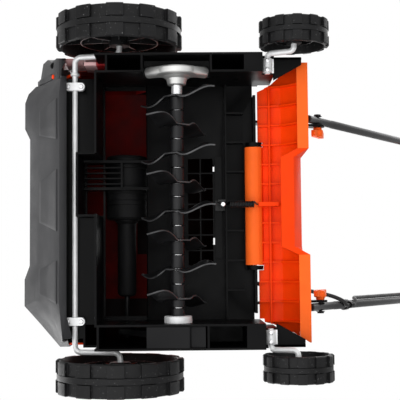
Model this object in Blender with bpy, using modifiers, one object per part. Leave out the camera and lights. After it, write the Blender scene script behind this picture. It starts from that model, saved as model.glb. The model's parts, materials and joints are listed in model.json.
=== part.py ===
"""Walk-behind electric lawn scarifier, built as an assembly of separate pieces.

Metres, +Z up, standing on its four wheels. The front is towards -Y and the operator stands at +Y.
Left is +X. The belt drive is on the right.
"""

import math

import bmesh
import bpy
from mathutils import Matrix, Quaternion, Vector

# Fits and walls
GAP = 0.0003
WALL = 0.003
RIB = 0.0025
BITE = 0.001  # how far shapes that become one piece reach into each other
PAST = 0.010  # how far a cutter reaches past what it cuts

# Wheels
LUGS = 12
LUG_HALF_ANGLE = math.radians(7.0)
LUG_SLOPE = math.radians(1.2)
LUG_HEIGHT = 0.0035
RIM_WALL = 0.0055
TREAD_BAND = 0.008
WEB_THICKNESS = 0.004
WEB_INSET = 0.010
FRONT_WHEEL_RADIUS = 0.0905
FRONT_WHEEL_WIDTH = 0.0455
FRONT_WHEEL_Y = -0.096
FRONT_HUB_RADIUS = 0.015
FRONT_RING_RADIUS = 0.055
REAR_WHEEL_RADIUS = 0.0490
REAR_WHEEL_WIDTH = 0.0365
REAR_WHEEL_Y = 0.150
REAR_HUB_RADIUS = 0.011
REAR_RING_RADIUS = 0.026
HUB_CAP_BRIM = 0.004
HUB_INSET = 0.005

# Axles
ROD_RADIUS = 0.004
CRANK_Y = -0.161
CRANK_Z = 0.104
CRANK_BEND = 0.012
REAR_AXLE_BEND = 0.007
STRAP_THICKNESS = 0.0022
CLAMP_WIDTH = 0.0115
CLAMP_HALF_LENGTH = 0.0145
REAR_CLAMP_WIDTH = 0.020
REAR_AXLE_Y = 0.114
REAR_AXLE_Z = 0.066
LEVER_HALF_THICKNESS = 0.003
LEVER_HUB_WALL = 0.004
LEVER_ELBOW = (-0.190, 0.150)
LEVER_TOP = (-0.199, 0.245)
LEVER_WIDTH = 0.012
LEVER_SLOT_BOTTOM = 0.104

# Deck
DECK_HALF_WIDTH = 0.2055
DECK_BOTTOM = 0.045
DECK_TOP = 0.160
DECK_FRONT = -0.172
DECK_RAIL_REAR = 0.106
DECK_ROOF_REAR = 0.098
DECK_LIP_REAR = 0.1013
DECK_LIP_BOTTOM = 0.131
SHOULDER_Y = -0.150
SHOULDER_INSET = 0.013
LEFT_RAIL = 0.0275
RIGHT_RAIL = 0.0355
CHAMBER_FRONT = -0.125
STEP_FRONT = -0.152
STEP_LEFT = 0.066
STEP_RIGHT = -0.018
STEP_BOTTOM = 0.060
BAY_REAR = -0.058
POCKET_REAR = 0.080
CORNER_REAR = 0.124
CORNER_TOP = 0.150
CORNER_LENGTH = 0.028
BLADE_CLEARANCE = 0.014
GRILLE_ROWS = 7
GRILLE_CELL = 0.023
GRILLE_BAR = 0.002
GRILLE_RIGHT = -0.090
GRILLE_FRONT = 0.001
GRILLE_COLUMN = 0.0175
STRIP_DEPTH = 0.006
SLOT_LENGTH = 0.010
SLOT_X = 0.0545
SLOT_Y = 0.039
BOSS_Y = 0.094
BOSS_RADIUS = 0.0125
ROOF_RIBS = 7

# Rotor
ROTOR_Y = -0.014
ROTOR_Z = 0.078
BLADE_COUNT = 8
BLADE_REACH = 0.066
BLADE_HALF_WIDTH = 0.0125
BLADE_THICKNESS = 0.0025
BLADE_BEND = 0.0070
BLADE_TWIST = 0.0075
BLADE_ANGLES = (314.5, 224.5)
SHAFT_RADIUS = 0.006
COLLAR_WALL = 0.0017
SLEEVE_WALL = 0.0035
BLOCK_RADIUS = 0.033
BLOCK_EAR = 0.0425
BLOCK_FLANGE = 0.0065
BLOCK_RISE = 0.010
BLOCK_THICKNESS = 0.0162
HUB_LENGTH = 0.0133
HUB_RADIUS = 0.015
BEARING_RING_RADIUS = 0.0195
BEARING_RING_LENGTH = 0.010
SPIGOT_STEP = 0.0015

# Drive
MOTOR_Y = -0.092
MOTOR_Z = 0.185
MOTOR_RADIUS = 0.0325
MOTOR_LEFT_X = 0.076
MOTOR_RIGHT_X = -0.0205
MOTOR_BAND = 0.012
MOTOR_SHAFT_RADIUS = 0.004
MOTOR_TUBE_RADIUS = 0.014
ROTOR_PULLEY_RADIUS = 0.027
MOTOR_PULLEY_RADIUS = 0.010
PULLEY_FLANGE = 0.003
PULLEY_RIM = 0.0015
PULLEY_WIDTH = 0.014
PULLEY_OFFSET = 0.010
BELT_THICKNESS = 0.0025
TRAY_BOTTOM = 0.0425
TRAY_STEP = 0.005
TRAY_TOP = 0.070
TRAY_WALL = 0.002
TRAY_FRONT = -0.057
TRAY_REAR = 0.024

# Hood and front cover
SEAM_Y = -0.176
HOOD_REAR = 0.058
HOOD_TOP = 0.262
VENT_ROWS = 5
NOSE_Y = -0.2436
NOSE_RECESS = 0.0075
NOSE_Z = 0.168
COVER_LIP_Y = -0.166
COVER_LIP_Z = 0.072
COVER_OVERHANG = 0.0005
EAR_OVERHANG = 0.0125

# Flap
HINGE_Y = 0.0985
HINGE_Z = 0.1425
BARREL_RADIUS = 0.0135
BARREL_LEFT = 0.083
BARREL_RIGHT = -0.090
EAR_THICKNESS = 0.006
EAR_RADIUS = 0.0125
PIN_RADIUS = 0.003
FLAP_ROOT_Y = 0.1045
FLAP_REAR_Y = 0.174
FLAP_LIP_Z = 0.092
FLAP_LIP_DEPTH = 0.016
FLAP_RIBS = 13
FLAP_RIB_DEPTH = 0.009
SCOOP_HALF_WIDTH = 0.064
SCOOP_BLEND = 0.012
SPRING_X = -0.002
SPRING_Z = 0.120
SPRING_RADIUS = 0.0042
SPRING_WIRE = 0.0008
SPRING_TURNS = 6
PEG_Y = 0.051
PEG_RADIUS = 0.0025
EYE_Y = 0.107
EYE_RADIUS = 0.0022

# Handle
HANDLE_X = -0.0105
HANDLE_PIVOT_Y = 0.205
HANDLE_PIVOT_Z = 0.225
HANDLE_SLOPE = math.radians(54.0)
TUBE_SPREAD = 0.145
TUBE_RADIUS = 0.0065
LOWER_TUBE_LENGTH = 0.365
TUBE_END = 0.012
PIVOT_MARGIN = 0.015
BOW_LENGTH = 0.870
BOW_CORNER = 0.045
BRACKET_THICKNESS = 0.0035
BRACKET_FOOT = 0.018
BOLT_RADIUS = 0.003
BOLT_HEAD_RADIUS = 0.006
BOLT_HEAD_HEIGHT = 0.0035
KNOB_RADIUS = 0.009
KNOB_NECK = 0.004
KNOB_HEIGHT = 0.016
KNOB_SPAN = 0.019
KNOB_LEAN = math.radians(60.0)
LEAD_RADIUS = 0.0032
GLAND_X = -0.118
GLAND_Z = 0.186
GLAND_LENGTH = 0.0204
CLIP_FROM = 0.078
CLIP_WIDTH = 0.010
CLIP_WALL = 0.0018
SWITCH_LENGTH = 0.100
SWITCH_DROP = 0.070
SWITCH_HALF_WIDTH = 0.021
BAIL_DROP = 0.110
BAIL_REACH = 0.088
BAIL_RADIUS = 0.004
BAIL_INSET = 0.0255
BAIL_BEND = 0.006
BAIL_TILT = math.radians(25.0)
BUTTON_RADIUS = 0.008
BUTTON_PLACE = 0.025
GRIP_HALF_LENGTH = 0.085
GRIP_WALL = 0.006

# Places that follow from the sizes above
FRONT_AXLE_Z = FRONT_WHEEL_RADIUS * math.cos(LUG_HALF_ANGLE)
REAR_HUB_Z = REAR_WHEEL_RADIUS * math.cos(LUG_HALF_ANGLE)
FRONT_WHEEL_INNER_X = DECK_HALF_WIDTH + 0.014
REAR_WHEEL_INNER_X = DECK_HALF_WIDTH + 0.0065
CRANK_ARM_X = DECK_HALF_WIDTH + ROD_RADIUS + 0.002
REAR_ARM_X = DECK_HALF_WIDTH + ROD_RADIUS - 0.0022
REAR_AXLE_INNER_X = DECK_HALF_WIDTH - 0.0275
REAR_CLAMP_X = DECK_HALF_WIDTH - 0.0155
CLAMP_X = DECK_HALF_WIDTH - 0.0375
LEVER_X = DECK_HALF_WIDTH - 0.0195
CHAMBER_LEFT = DECK_HALF_WIDTH - LEFT_RAIL
CHAMBER_RIGHT = -DECK_HALF_WIDTH + RIGHT_RAIL
BEAM_BOTTOM = CRANK_Z + ROD_RADIUS + GAP
CORNER_BOTTOM = REAR_AXLE_Z + ROD_RADIUS + GAP
ROOF_UNDER = DECK_TOP - WALL
ROOF_ARC_RADIUS = BLADE_REACH + BLADE_CLEARANCE
COLLAR_RADIUS = SHAFT_RADIUS + COLLAR_WALL
SLEEVE_RADIUS = SHAFT_RADIUS + SLEEVE_WALL
BLOCK_INNER_X = CHAMBER_LEFT + GAP
BLOCK_OUTER_X = BLOCK_INNER_X + BLOCK_THICKNESS
HUB_INNER_X = BLOCK_INNER_X - HUB_LENGTH
BEARING_RING_X = CHAMBER_RIGHT + BEARING_RING_LENGTH
FIRST_BLADE_X = HUB_INNER_X - 0.0155
LAST_BLADE_X = BEARING_RING_X + 0.0239
BLADE_PITCH = (FIRST_BLADE_X - LAST_BLADE_X) / (BLADE_COUNT - 1)
MOTOR_TUBE_END_X = CHAMBER_RIGHT + 0.034
PULLEY_X = (CHAMBER_RIGHT - PULLEY_OFFSET - PULLEY_WIDTH, CHAMBER_RIGHT - PULLEY_OFFSET)
BELT_X = (PULLEY_X[0] + PULLEY_RIM + BITE, PULLEY_X[1] - PULLEY_RIM - BITE)
FLAP_HALF_WIDTH = DECK_HALF_WIDTH - 0.0055
LIP_HALF_WIDTH = DECK_HALF_WIDTH - 0.0455
COVER_REAR_Y = SEAM_Y - GAP / 2
UPPER_PIVOT = LOWER_TUBE_LENGTH - PIVOT_MARGIN
BOW_SPREAD = TUBE_SPREAD - 2 * TUBE_RADIUS - 2 * GAP
SWITCH_TO = BOW_LENGTH - SWITCH_DROP
SWITCH_FROM = SWITCH_TO - SWITCH_LENGTH
BAIL_PIVOT = BOW_LENGTH - BAIL_DROP
GRIP_RADIUS = TUBE_RADIUS + GRIP_WALL
ALONG = Vector((0.0, math.cos(HANDLE_SLOPE), math.sin(HANDLE_SLOPE)))
ACROSS = Vector((0.0, -math.sin(HANDLE_SLOPE), math.cos(HANDLE_SLOPE)))
PIVOT = Vector((0.0, HANDLE_PIVOT_Y, HANDLE_PIVOT_Z))
HANDLE_REAR_Y = (PIVOT + ALONG * BOW_LENGTH).y + GRIP_RADIUS
ORIGIN_Y = (NOSE_Y + HANDLE_REAR_Y) / 2

FINISHES = {
    "black_plastic": ((0.012, 0.012, 0.013), 0.35, 0.0),
    "grey_plastic": ((0.065, 0.065, 0.068), 0.60, 0.0),
    "orange_plastic": ((1.0, 0.085, 0.008), 0.35, 0.0),
    "wheel_plastic": ((0.018, 0.018, 0.019), 0.65, 0.0),
    "zinc_steel": ((0.62, 0.63, 0.65), 0.28, 1.0),
    "cast_aluminium": ((0.70, 0.70, 0.69), 0.42, 1.0),
    "black_steel": ((0.03, 0.03, 0.032), 0.40, 0.6),
    "tube_paint": ((0.035, 0.035, 0.037), 0.38, 0.0),
    "foam": ((0.015, 0.015, 0.015), 0.90, 0.0),
    "cable": ((0.014, 0.014, 0.014), 0.55, 0.0),
}

TURN = {
    "X": Matrix.Rotation(math.radians(90), 4, "Y"),
    "Y": Matrix.Rotation(math.radians(-90), 4, "X"),
    "Z": Matrix.Identity(4),
}
# Columns give where a drawing's own right, up and depth directions go.
PLANE = {
    "X": Matrix(((0, 0, 1, 0), (1, 0, 0, 0), (0, 1, 0, 0), (0, 0, 0, 1))),
    "Y": Matrix(((1, 0, 0, 0), (0, 0, -1, 0), (0, 1, 0, 0), (0, 0, 0, 1))),
    "Z": Matrix.Identity(4),
}
DIRECTION = {"X": Vector((1, 0, 0)), "Y": Vector((0, 1, 0)), "Z": Vector((0, 0, 1))}

for old in list(bpy.data.objects):
    bpy.data.objects.remove(old)

pieces = bpy.data.collections.new("lawn_scarifier")
cutters = bpy.data.collections.new("cutters")
bpy.context.scene.collection.children.link(pieces)
bpy.context.scene.collection.children.link(cutters)
frame = bpy.data.objects.new("scarifier_frame", None)
frame.location = (0.0, -ORIGIN_Y, 0.0)
pieces.objects.link(frame)


def material(finish):
    found = bpy.data.materials.get(finish)
    if found:
        return found
    colour, roughness, metallic = FINISHES[finish]
    made = bpy.data.materials.new(finish)
    made.use_nodes = True
    shader = made.node_tree.nodes["Principled BSDF"]
    shader.inputs["Base Color"].default_value = (*colour, 1.0)
    shader.inputs["Roughness"].default_value = roughness
    shader.inputs["Metallic"].default_value = metallic
    return made


def helper(name, mesh):
    """Shape used to build a piece, kept out of the model itself."""
    made = bpy.data.objects.new(name, mesh)
    cutters.objects.link(made)
    made.parent = frame
    made.hide_render = True
    made.display_type = "WIRE"
    return made


def piece(shape, name, finish, pivot=None):
    """Turns a helper shape into a named piece, with its origin on its joint's axis."""
    cutters.objects.unlink(shape)
    pieces.objects.link(shape)
    shape.name = name
    shape.data.name = name
    shape.hide_render = False
    shape.display_type = "TEXTURED"
    shape.data.materials.clear()
    shape.data.materials.append(material(finish))
    if pivot is not None:
        shape.data.transform(Matrix.Translation(-Vector(pivot)))
        shape.location = pivot
    shape.data.shade_smooth()
    shape.data.set_sharp_from_angle(angle=math.radians(35))
    return shape


def from_bmesh(name, bm):
    mesh = bpy.data.meshes.new(name)
    bm.to_mesh(mesh)
    bm.free()
    return helper(name, mesh)


def cuboid(x, y, z, name="block"):
    bm = bmesh.new()
    bmesh.ops.create_cube(bm, size=1.0)
    low = Vector((min(x), min(y), min(z)))
    high = Vector((max(x), max(y), max(z)))
    bmesh.ops.scale(bm, vec=high - low, verts=bm.verts)
    bmesh.ops.translate(bm, vec=(low + high) / 2, verts=bm.verts)
    return from_bmesh(name, bm)


def cylinder(axis, centre, radius, span, sides=24, end_radius=None):
    """Round bar along an axis, between the two places of span on that axis."""
    bm = bmesh.new()
    first, last = sorted(span)
    far = radius if end_radius is None else end_radius
    bmesh.ops.create_cone(
        bm, cap_ends=True, segments=sides, radius1=radius, radius2=far, depth=last - first
    )
    spin = Matrix.Rotation(math.pi / sides, 4, "Z")
    middle = Vector(centre)
    middle["XYZ".index(axis)] = (first + last) / 2
    bmesh.ops.transform(bm, matrix=Matrix.Translation(middle) @ TURN[axis] @ spin, verts=bm.verts)
    return from_bmesh("bar", bm)


def evaluated_mesh(guide):
    graph = bpy.context.evaluated_depsgraph_get()
    return bpy.data.meshes.new_from_object(guide.evaluated_get(graph))


def welded(mesh):
    bm = bmesh.new()
    bm.from_mesh(mesh)
    bmesh.ops.remove_doubles(bm, verts=bm.verts, dist=1e-6)
    bmesh.ops.recalc_face_normals(bm, faces=bm.faces)
    bm.to_mesh(mesh)
    bm.free()
    return mesh


def curve_mesh(curve):
    guide = bpy.data.objects.new("guide", curve)
    bpy.context.scene.collection.objects.link(guide)
    mesh = welded(evaluated_mesh(guide))
    bpy.data.objects.remove(guide)
    return mesh


def sheet_outline(loops, axis, span):
    """Flat outline, its first loop outside and the others holes, drawn out along an axis."""
    curve = bpy.data.curves.new("outline", "CURVE")
    curve.dimensions = "2D"
    curve.fill_mode = "BOTH"
    curve.extrude = abs(span[1] - span[0]) / 2
    for loop in loops:
        spline = curve.splines.new("POLY")
        spline.points.add(len(loop) - 1)
        for point, (u, v) in zip(spline.points, loop):
            point.co = (u, v, 0.0, 1.0)
        spline.use_cyclic_u = True
    mesh = curve_mesh(curve)
    middle = DIRECTION[axis] * (span[0] + span[1]) / 2
    mesh.transform(Matrix.Translation(middle) @ PLANE[axis])
    return helper("plate", mesh)


def turned(profile, axis, centre, sides=24):
    """Solid of revolution: pairs of radius and place along the axis, as a closed ring of points."""
    bm = bmesh.new()
    points = [bm.verts.new((radius, 0.0, place)) for radius, place in profile]
    for first, second in zip(points, points[1:] + points[:1]):
        bm.edges.new((first, second))
    shape = from_bmesh("turned", bm)
    screw = shape.modifiers.new("Turn", "SCREW")
    screw.steps = sides
    screw.render_steps = sides
    screw.use_merge_vertices = True
    screw.merge_threshold = 0.00001
    mesh = welded(evaluated_mesh(shape))
    place = Vector(centre)
    place["XYZ".index(axis)] = 0.0
    mesh.transform(Matrix.Translation(place) @ TURN[axis])
    bpy.data.objects.remove(shape)
    return helper("turned", mesh)


def rounded_path(corners, bend, steps=4):
    """Route through corner points, with each inner corner replaced by an arc."""
    route = [Vector(corners[0])]
    for before, corner, after in zip(corners, corners[1:], corners[2:]):
        corner = Vector(corner)
        back = (Vector(before) - corner).normalized()
        ahead = (Vector(after) - corner).normalized()
        half = back.angle(ahead) / 2
        reach = bend / math.tan(half)
        centre = corner + (back + ahead).normalized() * (bend / math.sin(half))
        start = corner + back * reach - centre
        end = corner + ahead * reach - centre
        turn = start.rotation_difference(end)
        for step in range(steps + 1):
            route.append(centre + Quaternion(turn.axis, turn.angle * step / steps) @ start)
    route.append(Vector(corners[-1]))
    return route


def rod(route, radius, resolution=2):
    curve = bpy.data.curves.new("rod", "CURVE")
    curve.dimensions = "3D"
    curve.bevel_depth = radius
    curve.bevel_resolution = resolution
    curve.use_fill_caps = True
    spline = curve.splines.new("POLY")
    spline.points.add(len(route) - 1)
    for point, place in zip(spline.points, route):
        point.co = (*place, 1.0)
    return helper("rod", curve_mesh(curve))


def combine(target, tool, operation):
    step = target.modifiers.new(operation.title(), "BOOLEAN")
    step.operation = operation
    step.object = tool
    return target


def join(target, *tools):
    for tool in tools:
        combine(target, tool, "UNION")
    return target


def cut(target, *tools):
    for tool in tools:
        combine(target, tool, "DIFFERENCE")
    return target


def settled(shape):
    """Replaces a helper's live modifiers by their result, so that it can be reused or moved."""
    mesh = welded(evaluated_mesh(shape))
    shape.modifiers.clear()
    shape.data = mesh
    return shape


def arc(centre, radius, start, end, steps):
    """Points on an arc in a drawing plane, angles in degrees."""
    turns = [math.radians(start + (end - start) * step / steps) for step in range(steps + 1)]
    return [(centre[0] + radius * math.cos(t), centre[1] + radius * math.sin(t)) for t in turns]


def circle(centre, radius, sides=24):
    return arc(centre, radius, 0.0, 360.0 * (sides - 1) / sides, sides - 1)


def around(middle, half):
    return (middle - half, middle + half)


def skinned(rows, thickness, offset=-1.0):
    """Shell through rows of points, thickened inwards, or evenly with an offset of nought."""
    bm = bmesh.new()
    lines = []
    for row in rows:
        verts = [bm.verts.new(point) for point in row]
        edges = [bm.edges.new(pair) for pair in zip(verts, verts[1:])]
        lines.append(edges)
    for first, second in zip(lines, lines[1:]):
        bmesh.ops.bridge_loops(bm, edges=first + second)
    bmesh.ops.remove_doubles(bm, verts=bm.verts, dist=1e-6)
    bmesh.ops.recalc_face_normals(bm, faces=bm.faces)
    shape = from_bmesh("skin", bm)
    shell = shape.modifiers.new("Wall", "SOLIDIFY")
    shell.thickness = thickness
    shell.offset = offset
    shell.use_even_offset = True
    return settled(shape)


def at(along, across=0.0, x=0.0):
    """Point in the handle's own directions, measured from its lower pivot."""
    place = PIVOT + ALONG * along + ACROSS * across
    return Vector((x, place.y, place.z))


def sides():
    return (("left", 1), ("right", -1))


# Deck


def roof_band():
    """Curved roof over the front of the rotor."""
    centre = (ROTOR_Y, ROTOR_Z)
    outer = arc(centre, ROOF_ARC_RADIUS + WALL, 92, 124, 6)
    inner = arc(centre, ROOF_ARC_RADIUS, 124, 92, 6)
    return sheet_outline([outer + inner], "X", (CHAMBER_RIGHT - BITE, CHAMBER_LEFT + BITE))


def deck_block():
    half = DECK_HALF_WIDTH
    block = cuboid((-half, half), (CHAMBER_FRONT - WALL, DECK_RAIL_REAR), (DECK_BOTTOM, DECK_TOP))
    beam_rear = CHAMBER_FRONT - WALL / 2
    wide_beam = cuboid((-half, half), (SHOULDER_Y, beam_rear), (BEAM_BOTTOM, DECK_TOP))
    nose_half = half - SHOULDER_INSET
    nose_beam = cuboid(
        (-nose_half, nose_half), (DECK_FRONT, SHOULDER_Y + WALL), (BEAM_BOTTOM, DECK_TOP)
    )
    step = cuboid(
        (STEP_RIGHT - WALL, STEP_LEFT + WALL),
        (STEP_FRONT - WALL, beam_rear),
        (STEP_BOTTOM, DECK_TOP - WALL / 2),
    )
    join(block, wide_beam, nose_beam, step)
    for _, side in sides():
        corner = cuboid(
            (side * (half - CORNER_LENGTH), side * half),
            (DECK_RAIL_REAR - 2 * BITE, CORNER_REAR),
            (CORNER_BOTTOM, CORNER_TOP),
        )
        join(block, corner)
    return block


def deck_hollows(block):
    """Rotor chamber, side pockets and motor bay."""
    half = DECK_HALF_WIDTH
    below = DECK_BOTTOM - PAST
    above = DECK_TOP + PAST
    rear = CORNER_REAR + PAST
    chamber = cuboid((CHAMBER_RIGHT, CHAMBER_LEFT), (CHAMBER_FRONT, rear), (below, ROOF_UNDER))
    step_hollow = cuboid(
        (STEP_RIGHT, STEP_LEFT), (STEP_FRONT, CHAMBER_FRONT + PAST), (below, ROOF_UNDER)
    )
    beam_hollow = cuboid(
        (-half + 3 * WALL, half - 3 * WALL),
        (DECK_FRONT + WALL, STEP_FRONT - 2 * WALL),
        (BEAM_BOTTOM + WALL, above),
    )
    roof_end = cuboid(
        (CHAMBER_RIGHT, CHAMBER_LEFT), (DECK_ROOF_REAR, rear), (ROOF_UNDER - 2 * BITE, above)
    )
    cut(block, chamber, step_hollow, beam_hollow, roof_end)
    bay_floor = ROOF_UNDER - 2 * WALL
    bay = cuboid(
        (CHAMBER_RIGHT + 2 * WALL, CHAMBER_LEFT - 2 * WALL),
        (CHAMBER_FRONT + WALL, BAY_REAR),
        (bay_floor, above),
    )
    step_bay = cuboid(
        (STEP_RIGHT + WALL, STEP_LEFT - WALL), (STEP_FRONT + WALL, CHAMBER_FRONT), (bay_floor, above)
    )
    cut(block, bay, step_bay)
    left = (CHAMBER_LEFT + WALL, half - WALL)
    recess = around(ROTOR_Y, BLOCK_EAR + WALL + BITE)
    saddle = ROTOR_Z + BLOCK_RISE
    rail_web = CHAMBER_FRONT + 4 * WALL
    for span, depth in (
        ((DECK_FRONT - PAST / 2, rail_web), above),
        ((rail_web + WALL, recess[0] - WALL), ROOF_UNDER),
        ((recess[1] + WALL, POCKET_REAR), ROOF_UNDER),
    ):
        cut(block, cuboid(left, span, (below, depth)))
    cut(block, cuboid((CHAMBER_LEFT - 2 * BITE, half - WALL), recess, (below, saddle)))
    cut(block, cuboid(left, (recess[0] + WALL, recess[1] - WALL), (saddle + WALL, above)))
    right = (-half + WALL, CHAMBER_RIGHT - WALL)
    for span, depth in (
        ((CHAMBER_FRONT + WALL, TRAY_REAR + 2 * BITE), above),
        ((TRAY_REAR + 2 * BITE + WALL, POCKET_REAR), ROOF_UNDER),
        ((SHOULDER_Y + WALL, CHAMBER_FRONT), above),
    ):
        cut(block, cuboid(right, span, (below, depth)))
    ring_hole = cylinder(
        "X", (0, ROTOR_Y, ROTOR_Z), BEARING_RING_RADIUS - SPIGOT_STEP + GAP, around(CHAMBER_RIGHT, PAST)
    )
    return cut(block, ring_hole)


def grille(block):
    """Window of square cells behind the rotor, with a strip and two see-through slots beside it."""
    for column in range(2):
        front = GRILLE_FRONT + column * (GRILLE_COLUMN + GRILLE_BAR)
        for row in range(GRILLE_ROWS):
            low = GRILLE_RIGHT + GRILLE_CELL * row
            cell = cuboid(
                (low, low + GRILLE_CELL - GRILLE_BAR),
                (front, front + GRILLE_COLUMN),
                (ROOF_UNDER - PAST, DECK_TOP + PAST),
            )
            cut(block, cell)
    strip_x = (GRILLE_RIGHT + PAST, GRILLE_RIGHT + GRILLE_CELL * GRILLE_ROWS)
    strip_y = (SLOT_Y + 0.002, SLOT_Y + 0.012)
    join(block, cuboid(strip_x, strip_y, (ROOF_UNDER - STRIP_DEPTH, ROOF_UNDER + BITE)))
    return block


def deck_ribs(block):
    """Motor cradle, louvre bars, roof ribs and the ears and lip of the flap's hinge."""
    join(block, roof_band())
    rib_front = SLOT_Y + 0.0185
    spacing = (CHAMBER_LEFT - CHAMBER_RIGHT) / (ROOF_RIBS + 1)
    for number in range(ROOF_RIBS):
        x = CHAMBER_RIGHT + spacing * (number + 1)
        rib = cuboid(
            around(x, RIB / 2),
            (rib_front, HINGE_Y - BARREL_RADIUS - 2 * BITE),
            (DECK_LIP_BOTTOM + 0.007, ROOF_UNDER + BITE),
        )
        join(block, rib)
    across = (CHAMBER_RIGHT - BITE, CHAMBER_LEFT + BITE)
    cross_z = (DECK_LIP_BOTTOM + 0.009, ROOF_UNDER + BITE)
    join(block, cuboid(across, around(rib_front - BITE / 2, RIB / 2), cross_z))
    cradle_bottom = ROOF_UNDER - 5 * WALL
    for x in (STEP_LEFT, STEP_LEFT - 0.040):
        cradle = cuboid(
            (x - 0.004, x), (STEP_FRONT - BITE, BAY_REAR + 2 * BITE), (cradle_bottom, MOTOR_Z - 0.012)
        )
        seat = cylinder("X", (0, MOTOR_Y, MOTOR_Z), MOTOR_RADIUS + GAP, around(x, PAST), 36)
        join(block, cut(cradle, seat))
    louvre_end = MOTOR_Y - 0.004
    for place in range(4):
        x = STEP_LEFT - 0.011 - 0.008 * place
        bar = cuboid(around(x, BITE), (STEP_FRONT - BITE, louvre_end), (cradle_bottom, cradle_bottom + 0.009))
        join(block, bar)
    tie = cuboid(
        (STEP_LEFT - 0.041, STEP_LEFT - BITE),
        (louvre_end - 0.002, louvre_end + BITE),
        (cradle_bottom - 0.002, cradle_bottom + 0.0095),
    )
    return join(block, tie)


def ear_spans():
    """Where the deck's two hinge ears stand along X, each from its inner face to its outer face."""
    left = BARREL_LEFT + BITE
    right = BARREL_RIGHT - BITE
    return ((left, left + EAR_THICKNESS), (right, right - EAR_THICKNESS))


def hinge_seat(block):
    """Ear beside each end of the flap's barrel, with a plain lip from it to the root of the flap."""
    for ear_span in ear_spans():
        inner = ear_span[0]
        side = math.copysign(1.0, inner)
        outer = side * LIP_HALF_WIDTH
        ear = cylinder("X", (0, HINGE_Y, HINGE_Z), EAR_RADIUS, ear_span, 20)
        web = cuboid(ear_span, around(HINGE_Y - 0.007, 0.006), (HINGE_Z, DECK_TOP - BITE))
        lip = cuboid(
            (inner + side * BITE, outer),
            (DECK_LIP_REAR - WALL - BITE, DECK_LIP_REAR),
            (DECK_LIP_BOTTOM, DECK_TOP - 0.4 * WALL),
        )
        join(block, join(ear, web, lip))
    hole = cylinder(
        "X", (0, HINGE_Y, HINGE_Z), PIN_RADIUS + GAP, around(0, LIP_HALF_WIDTH + PAST), 12
    )
    return cut(block, hole)


def deck():
    block = hinge_seat(deck_ribs(grille(deck_hollows(deck_block()))))
    for x in (SLOT_X, -SLOT_X):
        slot = cuboid(around(x, SLOT_LENGTH / 2), around(SLOT_Y, 0.0015), (0.140, DECK_TOP + PAST))
        cut(block, slot)
    for _, side in sides():
        middle = (side * (DECK_HALF_WIDTH - BOSS_RADIUS - BITE), BOSS_Y, 0)
        join(block, cylinder("Z", middle, BOSS_RADIUS, (0.060, 0.120), 20, BOSS_RADIUS + BITE))
    piece(block, "deck", "black_plastic")


# Covers


def arch(half_width, crown, base):
    """Cross-section of the hood from its right edge over the crown to its left edge."""
    shape = ((1.0, 0.0), (1.0, 0.45), (0.975, 0.66), (0.89, 0.84), (0.69, 0.955), (0.35, 0.99))
    right = [(-half_width * u, base + (crown - base) * v) for u, v in shape]
    left = [(-x, z) for x, z in reversed(right)]
    return right + [(0.0, crown)] + left


def hood():
    base = DECK_TOP + GAP
    half = DECK_HALF_WIDTH
    stations = (
        (SEAM_Y + GAP / 2, half, HOOD_TOP),
        (-0.080, half, HOOD_TOP),
        (-0.010, half, HOOD_TOP - 0.003),
        (0.028, half - 0.002, HOOD_TOP - 0.012),
        (0.046, half - 0.007, HOOD_TOP - 0.030),
        (HOOD_REAR, half - 0.013, HOOD_TOP - 0.060),
    )
    rows = [[(x, y, z) for x, z in arch(width, crown, base)] for y, width, crown in stations]
    rear = [(x * 0.98, HOOD_REAR + BITE, base + (z - base) * 0.5) for x, y, z in rows[-1]]
    floor = [(x, HOOD_REAR + 1.2 * BITE, base) for x, y, z in rear]
    shell = skinned(rows + [rear, floor], WALL)
    for row in range(VENT_ROWS):
        y = -0.060 + 0.013 * row
        cut(shell, cuboid((-0.060, 0.060), (y, y + 0.005), (HOOD_TOP - 0.020, HOOD_TOP + PAST)))
    for x in (SLOT_X, -SLOT_X):
        window_y = (SLOT_Y + 0.001, SLOT_Y + 0.006)
        cut(shell, cuboid(around(x, SLOT_LENGTH), window_y, (HOOD_TOP - 0.050, HOOD_TOP)))
    piece(shell, "hood", "orange_plastic")


def cover_plan():
    """Plan of the nose at its fullest, from the left ear to the right end: share of half width, and Y."""
    fold = NOSE_Y + NOSE_RECESS
    left = [(1.0, COVER_REAR_Y), (1.0, NOSE_Y + 0.034), (0.97, NOSE_Y + 0.027), (0.86, NOSE_Y + 0.0225)]
    left += [(0.778, NOSE_Y + 0.005), (0.715, NOSE_Y), (0.535, NOSE_Y), (0.462, fold)]
    middle = [(0.24, fold), (0.0, fold), (-0.24, fold)]
    right = [(-0.405, fold), (-0.50, NOSE_Y), (-0.68, NOSE_Y), (-0.80, NOSE_Y + 0.0235)]
    right += [(-0.958, NOSE_Y + 0.053), (-0.958, COVER_REAR_Y)]
    return left + middle + right


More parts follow.
